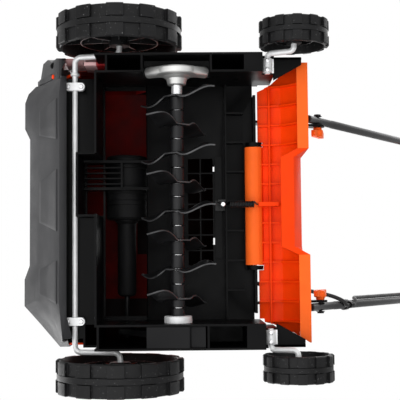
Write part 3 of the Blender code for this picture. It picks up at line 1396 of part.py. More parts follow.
def cable_clip():
    """Band round the right tube with a smaller ring beside it for the lead."""
    span = (CLIP_FROM, CLIP_FROM + CLIP_WIDTH)
    cut_span = (CLIP_FROM - PAST, CLIP_FROM + CLIP_WIDTH + PAST)
    beside = TUBE_RADIUS + LEAD_RADIUS + GAP
    tube_hole = TUBE_RADIUS + GAP
    lead_hole = LEAD_RADIUS + 2 * GAP
    band = cylinder("Z", (0, 0, 0), tube_hole + CLIP_WALL, span, 14)
    hook = cylinder("Z", (0, beside, 0), lead_hole + CLIP_WALL, span, 10)
    lead_bore = cylinder("Z", (0, beside, 0), lead_hole, cut_span, 10)
    tube_bore = cylinder("Z", (0, 0, 0), tube_hole, cut_span, 14)
    clip = on_handle(settled(cut(join(band, hook), lead_bore, tube_bore)), tube_x(-1))
    piece(clip, "cable_clip", "black_plastic", PIVOT)


def motor_lead():
    """Lead from the hood's gland, along the right tube and up to the switch box."""
    exit_y = HOOD_REAR + 0.0016
    gland_end = exit_y + GLAND_LENGTH
    hole = LEAD_RADIUS + GAP
    profile = [(hole, gland_end), (hole + 0.002, gland_end), (hole + 0.004, exit_y), (hole, exit_y)]
    piece(turned(profile, "Y", (GLAND_X, 0, GLAND_Z), 10), "lead_gland", "black_plastic")
    tube = tube_x(-1)
    off = TUBE_RADIUS + LEAD_RADIUS + GAP
    beside = tube + off
    join_place = at(CLIP_FROM - WALL, -off, tube)
    loop = [
        (GLAND_X, exit_y + GAP, GLAND_Z), (GLAND_X, 0.079, GLAND_Z), (GLAND_X, 0.100, GLAND_Z + 0.002),
        (-0.122, 0.130, 0.198), (-0.1275, 0.162, 0.220), (-0.1315, 0.189, 0.249), (-0.1365, 0.213, 0.266),
        at(0.050, 0.002, tube + 1.35 * off), at(0.062, -0.8 * off, tube + 0.65 * off),
        at(CLIP_FROM - 0.009, -off, tube), join_place - ALONG * 2 * GAP,
    ]
    piece(rod(smooth_route(loop, 2), LEAD_RADIUS, 1), "lead_loop", "cable")
    lower_end = at(UPPER_PIVOT - 0.045, 0, beside)
    clip_end = CLIP_FROM + CLIP_WIDTH
    lower = [
        join_place, at(CLIP_FROM, -off, tube), at(clip_end - WALL, -off, tube),
        at(clip_end + WALL, -off, tube), at(clip_end + 0.009, -0.97 * off, tube + 0.1 * off),
        at(clip_end + 0.018, -0.72 * off, tube + 0.7 * off),
        at(clip_end + 0.030, 0, beside), at(clip_end + 0.060, 0, beside), lower_end,
    ]
    piece(rod(smooth_route(lower, 2), LEAD_RADIUS, 1), "lead_lower", "cable", PIVOT)
    inside = bow_x(-1) + TUBE_RADIUS + LEAD_RADIUS + GAP
    over = TUBE_RADIUS + LEAD_RADIUS + 0.0023
    upper = [
        lower_end + ALONG * 3 * GAP, at(UPPER_PIVOT - 0.037, 0, beside),
        at(UPPER_PIVOT - 0.020, over - 0.002, beside), at(UPPER_PIVOT, over, beside),
        at(UPPER_PIVOT + 0.025, over, beside + 0.003),
        at(UPPER_PIVOT + 0.045, over - 0.001, bow_x(-1) + 0.002),
        at(UPPER_PIVOT + 0.065, 0.006, inside - 0.001),
        at(UPPER_PIVOT + 0.090, 0, inside), at(SWITCH_FROM - 0.100, 0, inside),
        at(SWITCH_FROM - 0.030, 0.0, inside), at(SWITCH_FROM - GAP, 0.0, inside),
    ]
    piece(rod(smooth_route(upper, 2), LEAD_RADIUS, 1), "lead_upper", "cable", at(UPPER_PIVOT))
    cable_clip()


def handle():
    upper = at(UPPER_PIVOT)
    for label, side in sides():
        handle_bracket(label, side)
        handle_tube(label, side)
        outer = tube_x(side) + side * (TUBE_RADIUS + GAP)
        wing_knob(f"lower_knob_{label}", side, PIVOT, inner_face(side) - side * BRACKET_THICKNESS, outer)
        wing_knob(f"upper_knob_{label}", side, upper, bow_x(side) - side * TUBE_RADIUS, outer)
    upper_handle()
    switch_box()
    bail()
    motor_lead()


deck()
hood()
front_cover()
belt_cover()
rotor()
wheels()
axles()
flap()
flap_spring()
handle()
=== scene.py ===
import json
import math

import bmesh
import bpy
from mathutils import Matrix, Vector
from mathutils.bvhtree import BVHTree


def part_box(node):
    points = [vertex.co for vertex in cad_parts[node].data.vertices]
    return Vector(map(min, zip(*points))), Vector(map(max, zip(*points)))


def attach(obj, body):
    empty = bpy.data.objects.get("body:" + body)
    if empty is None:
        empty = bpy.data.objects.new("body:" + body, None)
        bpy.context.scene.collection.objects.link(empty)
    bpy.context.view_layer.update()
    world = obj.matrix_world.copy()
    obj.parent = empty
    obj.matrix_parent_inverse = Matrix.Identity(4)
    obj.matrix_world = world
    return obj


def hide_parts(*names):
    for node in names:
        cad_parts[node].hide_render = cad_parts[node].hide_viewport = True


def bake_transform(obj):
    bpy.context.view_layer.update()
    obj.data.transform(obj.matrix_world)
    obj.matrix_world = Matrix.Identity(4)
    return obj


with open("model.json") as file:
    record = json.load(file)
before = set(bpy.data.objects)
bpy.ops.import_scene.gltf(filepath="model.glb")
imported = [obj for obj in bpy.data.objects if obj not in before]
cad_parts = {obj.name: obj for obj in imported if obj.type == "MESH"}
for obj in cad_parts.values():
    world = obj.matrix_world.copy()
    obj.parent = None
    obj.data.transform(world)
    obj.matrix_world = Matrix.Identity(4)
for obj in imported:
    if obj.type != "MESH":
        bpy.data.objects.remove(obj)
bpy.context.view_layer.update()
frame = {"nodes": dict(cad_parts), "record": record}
nodes = frame["nodes"]
record = frame["record"]
scene = bpy.context.scene
scene.view_settings.view_transform = "Standard"

bodyOf = {node: body for body, group in record["behaviour"]["bodies"].items() for node in group}
slotOf = {part["node"]: part["material_slot"] for part in record["subparts"]}

# places are given from the machine's own zero, which the rotor's line ties to the frame
rotorLine = {"y": -0.014, "z": 0.078}
shaftLow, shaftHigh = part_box("rotor_shaft")
toFrame = Vector((0.0, (shaftLow.y + shaftHigh.y) / 2 - rotorLine["y"], 0.0))
print("frame loaded:", len(nodes), "nodes")


# camera at the photograph's angle: below the machine, looking up, front to the left

cameraSet = {
    "place": (-0.0888, 0.0006, -1.2806),
    "right": (-0.0085, 0.99989, -0.01203),
    "up": (0.99774, 0.00768, -0.06672),
    "lens": 87.0,
    "sensor": 36.0,
}


def makeCamera():
    data = bpy.data.cameras.new("photoCamera")
    data.lens = cameraSet["lens"]
    data.sensor_width = cameraSet["sensor"]
    data.clip_start = 0.01
    data.clip_end = 50.0
    right = Vector(cameraSet["right"]).normalized()
    up = Vector(cameraSet["up"]).normalized()
    back = right.cross(up).normalized()
    up = back.cross(right)
    turn = Matrix((right, up, back)).transposed().to_4x4()
    camera = bpy.data.objects.new("photoCamera", data)
    camera.matrix_world = Matrix.Translation(Vector(cameraSet["place"]) + toFrame) @ turn
    scene.collection.objects.link(camera)
    scene.camera = camera


makeCamera()
print("camera placed")


# finishes

finishSet = {
    "black_plastic": dict(colour=(0.0019, 0.0019, 0.0021), rough=(0.26, 0.42), grain=900.0, bump=0.05,
                          mottle=0.35, gloss=0.055, speck=(0.030, 420.0, 0.74)),
    "motor_black": dict(colour=(0.0052, 0.0052, 0.0055), rough=(0.50, 0.70), grain=1700.0, bump=0.25,
                        mottle=0.45, gloss=0.10, speck=(0.060, 700.0, 0.70)),
    "grey_plastic": dict(colour=(0.029, 0.029, 0.031), rough=(0.52, 0.68), grain=1900.0, bump=0.30,
                         mottle=0.12, gloss=0.28),
    "belt_grey": dict(colour=(0.0085, 0.0085, 0.0090), rough=(0.46, 0.62), grain=1900.0, bump=0.25,
                      mottle=0.15, gloss=0.09),
    "orange_plastic": dict(colour=(0.89, 0.050, 0.0015), rough=(0.30, 0.44), grain=900.0, bump=0.05,
                           mottle=0.07, gloss=0.06),
    # paler orange: the knobs' own colour, and painted light on the flap's barrel and rim
    "orange_pale_and_painted_lit": dict(colour=(0.94, 0.135, 0.016), rough=(0.30, 0.44), grain=900.0, bump=0.05,
                         mottle=0.07, gloss=0.08),
    # painted shade: dark red for the hood's inner skin, which the lamps hardly reach
    "orange_painted_shade": dict(colour=(0.088, 0.0012, 0.0007), rough=(0.40, 0.55), grain=900.0, bump=0.05,
                         mottle=0.40, gloss=0.04),
    # painted reflection: pale pink on the inside of the hood's left flank
    "flank_painted_reflection": dict(colour=(0.86, 0.42, 0.42), rough=(0.20, 0.40), grain=900.0, bump=0.05,
                      mottle=0.55, gloss=0.30),
    # painted shadow: near black for the hood's inner skin behind the grille and on the drive side
    "hood_painted_shadow": dict(colour=(0.0035, 0.0006, 0.0005), rough=(0.40, 0.55), grain=900.0, bump=0.05,
                      mottle=0.45, gloss=0.04),
    # painted half shade: mid red for the hood's left inner wall and the flank's back part
    "flank_painted_half_shade": dict(colour=(0.26, 0.010, 0.012), rough=(0.20, 0.40), grain=900.0, bump=0.05,
                       mottle=0.45, gloss=0.20),
    "wheel_plastic": dict(colour=(0.0062, 0.0062, 0.0066), rough=(0.36, 0.62), grain=1500.0, bump=0.22,
                          mottle=0.40, gloss=0.14, speck=(0.16, 520.0, 0.69)),
    # painted highlight on the edges of the wheels' inner ribs
    "rib_painted_highlight": dict(colour=(0.085, 0.085, 0.088), rough=(0.22, 0.40), grain=900.0, bump=0.05,
                     mottle=0.45, gloss=0.45),
    "zinc_steel": dict(colour=(0.74, 0.745, 0.75), rough=(0.34, 0.50), metal=0.22, grain=700.0, bump=0.08,
                       mottle=0.14, gloss=0.5),
    "cast_aluminium": dict(colour=(0.50, 0.50, 0.49), rough=(0.38, 0.54), metal=0.7, grain=1300.0, bump=0.20,
                           mottle=0.14, gloss=0.5),
    "black_steel": dict(colour=(0.0065, 0.0065, 0.0070), rough=(0.28, 0.46), grain=1100.0, bump=0.10,
                        mottle=0.30, gloss=0.20),
    # lighter blade rims: worn steel and a painted highlight
    "rim_wear_and_painted_highlight": dict(colour=(0.050, 0.050, 0.052), rough=(0.26, 0.46), metal=0.3, grain=900.0, bump=0.12,
                      mottle=0.60, gloss=0.35),
    "tube_paint": dict(colour=(0.012, 0.012, 0.013), rough=(0.30, 0.44), grain=1800.0, bump=0.10,
                       mottle=0.15, gloss=0.35),
    "foam": dict(colour=(0.012, 0.012, 0.012), rough=(0.85, 0.95), grain=700.0, bump=0.60,
                 mottle=0.30, gloss=0.20),
    "cable": dict(colour=(0.0085, 0.0085, 0.0090), rough=(0.44, 0.58), grain=1200.0, bump=0.08,
                  mottle=0.20, gloss=0.25),
    "sleeve_steel": dict(colour=(0.0090, 0.0090, 0.0098), rough=(0.28, 0.44), metal=0.2, grain=900.0, bump=0.08,
                         mottle=0.30, gloss=0.22),
    "bright_steel": dict(colour=(0.70, 0.70, 0.71), rough=(0.24, 0.38), metal=0.6, grain=900.0, bump=0.05,
                         mottle=0.08, gloss=0.5),
}


def makeFinish(name):
    wanted = finishSet[name]
    colour = wanted["colour"]
    mottle = wanted["mottle"]
    paint = bpy.data.materials.new(name + "Finish")
    paint.use_nodes = True
    tree = paint.node_tree
    shader = tree.nodes["Principled BSDF"]
    shader.inputs["Metallic"].default_value = wanted.get("metal", 0.0)
    shader.inputs["Specular IOR Level"].default_value = wanted["gloss"]
    coords = tree.nodes.new("ShaderNodeTexCoord")
    cloud = tree.nodes.new("ShaderNodeTexNoise")
    cloud.inputs["Scale"].default_value = 38.0
    cloud.inputs["Detail"].default_value = 6.0
    fine = tree.nodes.new("ShaderNodeTexNoise")
    fine.inputs["Scale"].default_value = wanted["grain"]
    fine.inputs["Detail"].default_value = 3.0
    tree.links.new(coords.outputs["Object"], cloud.inputs["Vector"])
    tree.links.new(coords.outputs["Object"], fine.inputs["Vector"])
    ramp = tree.nodes.new("ShaderNodeValToRGB")
    ramp.color_ramp.elements[0].position = 0.30
    ramp.color_ramp.elements[1].position = 0.72
    ramp.color_ramp.elements[0].color = (*[c * (1.0 - mottle) for c in colour], 1.0)
    ramp.color_ramp.elements[1].color = (*[min(1.0, c * (1.0 + mottle)) for c in colour], 1.0)
    tree.links.new(cloud.outputs["Fac"], ramp.inputs["Fac"])
    surface = ramp.outputs["Color"]
    if "speck" in wanted:  # grains of dust on dark plastic
        pale, scale, above = wanted["speck"]
        dust = tree.nodes.new("ShaderNodeTexNoise")
        dust.inputs["Scale"].default_value = scale
        dust.inputs["Detail"].default_value = 2.0
        tree.links.new(coords.outputs["Object"], dust.inputs["Vector"])
        pick = tree.nodes.new("ShaderNodeMapRange")
        pick.inputs["From Min"].default_value = above
        pick.inputs["From Max"].default_value = above + 0.05
        tree.links.new(dust.outputs["Fac"], pick.inputs["Value"])
        blend = tree.nodes.new("ShaderNodeMix")
        blend.data_type = "RGBA"
        blend.inputs["B"].default_value = (pale, pale, pale, 1.0)
        tree.links.new(pick.outputs["Result"], blend.inputs["Factor"])
        tree.links.new(surface, blend.inputs["A"])
        surface = blend.outputs["Result"]
    tree.links.new(surface, shader.inputs["Base Color"])
    spread = tree.nodes.new("ShaderNodeMapRange")
    spread.inputs["From Min"].default_value = 0.30
    spread.inputs["From Max"].default_value = 0.70
    spread.inputs["To Min"].default_value = wanted["rough"][0]
    spread.inputs["To Max"].default_value = wanted["rough"][1]
    tree.links.new(cloud.outputs["Fac"], spread.inputs["Value"])
    tree.links.new(spread.outputs["Result"], shader.inputs["Roughness"])
    relief = tree.nodes.new("ShaderNodeBump")
    relief.inputs["Strength"].default_value = wanted["bump"]
    relief.inputs["Distance"].default_value = 0.0004
    tree.links.new(fine.outputs["Fac"], relief.inputs["Height"])
    tree.links.new(relief.outputs["Normal"], shader.inputs["Normal"])
    return paint


finishes = {name: makeFinish(name) for name in finishSet}
print("finishes mixed:", len(finishes))


# steps that every piece uses

made = set()  # CAD nodes that a piece already stands for


def addPiece(name, bm, finish, body, replaced=(), fromCad=False, sharp=34.0):
    if not fromCad:
        bmesh.ops.remove_doubles(bm, verts=bm.verts, dist=0.000004)
        bmesh.ops.recalc_face_normals(bm, faces=bm.faces)
        bmesh.ops.translate(bm, vec=toFrame, verts=bm.verts)
    mesh = bpy.data.meshes.new(name)
    bm.to_mesh(mesh)
    bm.free()
    for entry in [finish] if isinstance(finish, str) else finish:
        mesh.materials.append(finishes[entry])
    mesh.shade_smooth()
    mesh.set_sharp_from_angle(angle=math.radians(sharp))
    piece = bpy.data.objects.new(name, mesh)
    scene.collection.objects.link(piece)
    if body:
        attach(piece, body)
    if replaced:
        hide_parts(*replaced)
        made.update(replaced)
    return piece


def standIn(node, bm, finish=None, sharp=34.0):
    return addPiece(node + "Fine", bm, finish or slotOf[node], bodyOf[node], (node,), sharp=sharp)


def softEdge(piece, width, turn=30.0, segments=2):
    edge = piece.modifiers.new("softEdge", "BEVEL")
    edge.width = width
    edge.segments = segments
    edge.limit_method = "ANGLE"
    edge.angle_limit = math.radians(turn)
    edge.profile = 0.5
    return piece


def wallOf(piece, thickness, rimFinish=0, offset=0.0):
    wall = piece.modifiers.new("wall", "SOLIDIFY")
    wall.thickness = thickness
    wall.offset = offset
    wall.use_even_offset = True
    wall.material_offset_rim = rimFinish
    return piece


def roundOff(piece, levels=2):
    skin = piece.modifiers.new("round", "SUBSURF")
    skin.levels = levels
    skin.render_levels = levels
    return piece


axisOf = {"X": Vector((1, 0, 0)), "Y": Vector((0, 1, 0)), "Z": Vector((0, 0, 1))}


def lathe(bm, profile, axis, centre, steps=48):
    # closed ring of (radius, place along the axis) turned once round; the first section points down or forwards
    line = axisOf[axis] if isinstance(axis, str) else Vector(axis).normalized()
    out = Vector((0, 0, -1)) if abs(line.z) < 0.9 else Vector((0, -1, 0))
    out = (out - line * out.dot(line)).normalized()
    foot = Vector(centre) - line * Vector(centre).dot(line) if isinstance(axis, str) else Vector(centre)
    ring = [bm.verts.new(foot + line * place + out * radius) for radius, place in profile]
    edges = [bm.edges.new(pair) for pair in zip(ring, ring[1:] + ring[:1])]
    bmesh.ops.spin(
        bm, geom=ring + edges, cent=foot, axis=line, angle=2 * math.pi, steps=steps, use_merge=True
    )


def newEdges(drawn):
    fresh = {item for item in drawn["geom"] if isinstance(item, bmesh.types.BMVert)}
    edges = [item for item in drawn["geom"] if isinstance(item, bmesh.types.BMEdge)]
    return [edge for edge in edges if all(vert in fresh for vert in edge.verts)], list(fresh)


def drawOut(bm, edges, move):
    ring, verts = newEdges(bmesh.ops.extrude_edge_only(bm, edges=edges))
    bmesh.ops.translate(bm, vec=move, verts=verts)
    return ring


def bentRod(bm, corners, bend, radius, sides=20, steps=8):
    # round bar drawn out along its straight runs and spun round its bends
    points = [Vector(corner) for corner in corners]
    ring = bmesh.ops.create_circle(bm, cap_ends=False, radius=radius, segments=sides)["verts"]
    turn = (points[1] - points[0]).to_track_quat("Z", "Y").to_matrix().to_4x4()
    bmesh.ops.transform(bm, matrix=Matrix.Translation(points[0]) @ turn, verts=ring)
    edges = list({edge for vert in ring for edge in vert.link_edges})
    ends = list(edges)
    here = points[0]
    for before, corner, after in zip(points, points[1:], points[2:]):
        back = (before - corner).normalized()
        ahead = (after - corner).normalized()
        half = back.angle(ahead) / 2
        start = corner + back * (bend / math.tan(half))
        end = corner + ahead * (bend / math.tan(half))
        centre = corner + (back + ahead).normalized() * (bend / math.sin(half))
        edges = drawOut(bm, edges, start - here)
        verts = list({vert for edge in edges for vert in edge.verts})
        axis = (start - centre).cross(end - centre).normalized()
        swept = bmesh.ops.spin(
            bm, geom=verts + edges, cent=centre, axis=axis, angle=math.pi - 2 * half, steps=steps
        )
        edges = [item for item in swept["geom_last"] if isinstance(item, bmesh.types.BMEdge)]
        here = end
    edges = drawOut(bm, edges, points[-1] - here)
    for loop in (ends, edges):
        bmesh.ops.contextual_create(bm, geom=loop)


def screwHead(bm, centre, axis, radius, height):
    # pan head with a cross recess, its base at the centre and its crown along the axis
    line = Vector(axis).normalized()
    deep = height * 0.45
    profile = [
        (0.0, height - deep), (radius * 0.46, height - deep), (radius * 0.50, height),
        (radius * 0.74, height * 0.92), (radius * 0.94, height * 0.62), (radius, height * 0.25),
        (radius, -0.0004), (0.0, -0.0004),
    ]
    before = set(bm.verts)
    lathe(bm, profile, line, centre, 16)
    fresh = [vert for vert in bm.verts if vert not in before]
    side = line.orthogonal().normalized()
    for vert in fresh:
        flat = vert.co - Vector(centre)
        flat -= line * flat.dot(line)
        if 0.0 < flat.length < radius * 0.6 and abs(math.cos(2 * flat.angle(side))) < 0.9:
            vert.co -= flat * 0.62


def boxIn(bm, x, y, z):
    cube = bmesh.ops.create_cube(bm, size=1.0)["verts"]
    low = Vector((min(x), min(y), min(z)))
    high = Vector((max(x), max(y), max(z)))
    bmesh.ops.scale(bm, vec=high - low, verts=cube)
    bmesh.ops.translate(bm, vec=(low + high) / 2, verts=cube)
    return cube


def growFace(bm, row, move):
    face = bm.faces.new([bm.verts.new(place) for place in row])
    grown = bmesh.ops.extrude_face_region(bm, geom=[face])["geom"]
    bmesh.ops.translate(bm, vec=move, verts=[item for item in grown if isinstance(item, bmesh.types.BMVert)])


def around(middle, half):
    return (middle - half, middle + half)


handleSet = {"pivot": Vector((0.0, 0.205, 0.225)), "slope": math.radians(54.0), "x": -0.0105}
handleAlong = Vector((0.0, math.cos(handleSet["slope"]), math.sin(handleSet["slope"])))
handleAcross = Vector((0.0, -math.sin(handleSet["slope"]), math.cos(handleSet["slope"])))


def onHandle(along, across=0.0, x=0.0):
    return handleSet["pivot"] + handleAlong * along + handleAcross * across + Vector((x, 0.0, 0.0))


# lead from the hood's gland to the switch box, its route as in the CAD

leadSet = {
    "radius": 0.0032,
    "gland": (-0.118, 0.0596, 0.186),
    "glandLength": 0.0204,
    "loop": [
        (-0.118, 0.0599, 0.186), (-0.118, 0.079, 0.186), (-0.118, 0.100, 0.188), (-0.122, 0.130, 0.198),
        (-0.1275, 0.162, 0.220), (-0.1315, 0.189, 0.249), (-0.1365, 0.213, 0.266),
        onHandle(0.050, 0.002, -0.142), onHandle(0.062, -0.008, -0.149), onHandle(0.069, -0.010, -0.1555),
        onHandle(0.078, -0.010, -0.1555), onHandle(0.085, -0.010, -0.1555), onHandle(0.091, -0.010, -0.1555),
        onHandle(0.097, -0.0097, -0.1545), onHandle(0.106, -0.0072, -0.1485), onHandle(0.118, 0.0, -0.1455),
        onHandle(0.148, 0.0, -0.1455), onHandle(0.305, 0.0, -0.1455),
    ],
    "rise": [
        onHandle(0.3059, 0.0, -0.1455), onHandle(0.313, 0.0, -0.1455), onHandle(0.330, 0.010, -0.1455),
        onHandle(0.350, 0.012, -0.1455), onHandle(0.375, 0.012, -0.1425), onHandle(0.395, 0.011, -0.1399),
        onHandle(0.415, 0.006, -0.1329), onHandle(0.440, 0.0, -0.1319), onHandle(0.600, 0.0, -0.1319),
        onHandle(0.670, 0.0, -0.1319), onHandle(0.6997, 0.0, -0.1319),
    ],
    "steps": 8,
}


def smoothRoute(points, steps):
    route = []
    padded = [points[0]] + list(points) + [points[-1]]
    for a, b, c, d in zip(padded, padded[1:], padded[2:], padded[3:]):
        a, b, c, d = Vector(a), Vector(b), Vector(c), Vector(d)
        for step in range(steps):
            t = step / steps
            bend = 2 * b + (c - a) * t + (2 * a - 5 * b + 4 * c - d) * t**2 + (3 * b - a - 3 * c + d) * t**3
            route.append(bend / 2)
    route.append(Vector(points[-1]))
    return route


def makeLead(name, points, replaced):
    route = [point + toFrame for point in smoothRoute(points, leadSet["steps"])]
    curve = bpy.data.curves.new(name, "CURVE")
    curve.dimensions = "3D"
    curve.bevel_depth = leadSet["radius"]
    curve.bevel_resolution = 4
    curve.use_fill_caps = True
    spline = curve.splines.new("POLY")
    spline.points.add(len(route) - 1)
    for point, place in zip(spline.points, route):
        point.co = (*place, 1.0)
    guide = bpy.data.objects.new(name + "Guide", curve)
    scene.collection.objects.link(guide)
    mesh = bpy.data.meshes.new_from_object(guide.evaluated_get(bpy.context.evaluated_depsgraph_get()))
    bpy.data.objects.remove(guide)
    bm = bmesh.new()
    bm.from_mesh(mesh)
    bmesh.ops.remove_doubles(bm, verts=bm.verts, dist=0.000004)
    bmesh.ops.recalc_face_normals(bm, faces=bm.faces)
    piece = addPiece(name, bm, "cable", None, replaced, fromCad=True)
    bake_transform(piece)
    length = sum((b - a).length for a, b in zip(route, route[1:]))
    return length


def makeGland():
    x, y, z = leadSet["gland"]
    hole = leadSet["radius"] + 0.0003
    end = y + leadSet["glandLength"]
    profile = [(hole, y), (hole + 0.0052, y), (hole + 0.0052, y + 0.0022), (hole + 0.0040, y + 0.0026)]
    rings = 4
    for ring in range(rings):  # flexing grooves of the strain relief
        here = y + 0.0050 + 0.0034 * ring
        body = hole + 0.0038 - 0.0004 * ring
        profile += [(body, here), (body - 0.0012, here + 0.0003), (body - 0.0012, here + 0.0013)]
        profile += [(body - 0.0002, here + 0.0016)]
    profile += [(hole + 0.0020, end - 0.0004), (hole + 0.0014, end), (hole, end)]
    bm = bmesh.new()
    lathe(bm, profile, "Y", (x, 0.0, z), 28)
    standIn("lead_gland", bm)


leadLength = makeLead(
    "motorLead", leadSet["loop"],
    ("lead_loop", "lead_lower"),
)
leadLength += makeLead(
    "switchLead", leadSet["rise"],
    ("lead_upper",),
)
makeGland()
print("lead laid, metres:", round(leadLength, 3))


# floor, white surroundings and lamps

stageSet = {
    "floorSize": 16.0,
    "floorColour": (0.86, 0.86, 0.86, 1.0),
    "worldFill": 0.38,
    "lamps": {
        "underKey": ((-1.2, -1.6, -3.2), 6.0, 175.0),
        "underFill": ((2.2, 1.0, -3.0), 6.0, 90.0),
        "overKey": ((-2.2, -2.4, 3.8), 6.0, 330.0),
        "overFill": ((2.8, 1.8, 3.4), 6.0, 200.0),
    },
    "aim": (0.0, 0.0, 0.10),
}


def makeFloor():
    bm = bmesh.new()
    bmesh.ops.create_grid(bm, x_segments=1, y_segments=1, size=stageSet["floorSize"] / 2)
    mesh = bpy.data.meshes.new("paleFloor")
    bm.to_mesh(mesh)
    bm.free()
    floor = bpy.data.objects.new("paleFloor", mesh)
    scene.collection.objects.link(floor)
    paint = bpy.data.materials.new("paleFloorPaper")
    paint.use_nodes = True
    tree = paint.node_tree
    tree.nodes.clear()
    out = tree.nodes.new("ShaderNodeOutputMaterial")
    mix = tree.nodes.new("ShaderNodeMixShader")
    clear = tree.nodes.new("ShaderNodeBsdfTransparent")
    paper = tree.nodes.new("ShaderNodeBsdfDiffuse")
    paper.inputs["Color"].default_value = stageSet["floorColour"]
    path = tree.nodes.new("ShaderNodeLightPath")
    side = tree.nodes.new("ShaderNodeNewGeometry")
    front = tree.nodes.new("ShaderNodeMath")
    front.operation = "SUBTRACT"
    front.inputs[0].default_value = 1.0
    seen = tree.nodes.new("ShaderNodeMath")
    seen.operation = "MULTIPLY"
    tree.links.new(side.outputs["Backfacing"], front.inputs[1])
    tree.links.new(path.outputs["Is Camera Ray"], seen.inputs[0])
    tree.links.new(front.outputs[0], seen.inputs[1])
    tree.links.new(seen.outputs[0], mix.inputs[0])
    tree.links.new(clear.outputs[0], mix.inputs[1])
    tree.links.new(paper.outputs[0], mix.inputs[2])
    tree.links.new(mix.outputs[0], out.inputs[0])
    mesh.materials.append(paint)


def makeWorld():
    world = bpy.data.worlds.new("whiteRoom")
    scene.world = world
    world.use_nodes = True
    tree = world.node_tree
    tree.nodes.clear()
    out = tree.nodes.new("ShaderNodeOutputWorld")
    fill = tree.nodes.new("ShaderNodeBackground")
    fill.inputs["Color"].default_value = (1.0, 1.0, 1.0, 1.0)
    fill.inputs["Strength"].default_value = stageSet["worldFill"]
    white = tree.nodes.new("ShaderNodeBackground")
    white.inputs["Color"].default_value = (1.0, 1.0, 1.0, 1.0)
    white.inputs["Strength"].default_value = 1.0
    path = tree.nodes.new("ShaderNodeLightPath")
    first = tree.nodes.new("ShaderNodeMath")
    first.operation = "MAXIMUM"
    second = tree.nodes.new("ShaderNodeMath")
    second.operation = "MAXIMUM"
    mix = tree.nodes.new("ShaderNodeMixShader")
    tree.links.new(path.outputs["Is Camera Ray"], first.inputs[0])
    tree.links.new(path.outputs["Is Glossy Ray"], first.inputs[1])
    tree.links.new(first.outputs[0], second.inputs[0])
    tree.links.new(path.outputs["Is Transmission Ray"], second.inputs[1])
    tree.links.new(second.outputs[0], mix.inputs[0])
    tree.links.new(fill.outputs[0], mix.inputs[1])
    tree.links.new(white.outputs[0], mix.inputs[2])
    tree.links.new(mix.outputs[0], out.inputs[0])


def makeLamps():
    aim = Vector(stageSet["aim"])
    for name, (place, size, power) in stageSet["lamps"].items():
        data = bpy.data.lights.new(name, "AREA")
        data.size = size
        data.energy = power
        lamp = bpy.data.objects.new(name, data)
        lamp.location = place
        lamp.visible_camera = False
        lamp.rotation_euler = (aim - Vector(place)).to_track_quat("-Z", "Y").to_euler()
        scene.collection.objects.link(lamp)


makeFloor()
makeWorld()
makeLamps()
print("stage ready")


# wheels: turned rim and web, lugs drawn out of the tread, thin ribs inside

wheelSet = {
    "front": dict(radius=0.08983, y=-0.096, inner=0.2195, width=0.0455, hub=0.015, ring=0.055, band=0.0042,
                  lug=0.0045, rim=0.0050, spokes=7),
    "rear": dict(radius=0.04864, y=0.150, inner=0.212, width=0.0365, hub=0.011, ring=0.026, band=0.0034,
                 lug=0.0034, rim=0.0042, spokes=6),
    "steps": 96,
    "pitch": 30.0,
    "lugHalf": 7.5,
    "bore": 0.0043,
    "hubInset": 0.005,
    "webInset": 0.010,
    "web": 0.004,
    "proud": 0.0012,
}


def wheelAngle(place, centre):
    return math.degrees(math.atan2(place.z - centre.z, place.y - centre.y)) + 90.0


def offPitch(angle, pitch):
    return abs((angle + pitch / 2) % pitch - pitch / 2)


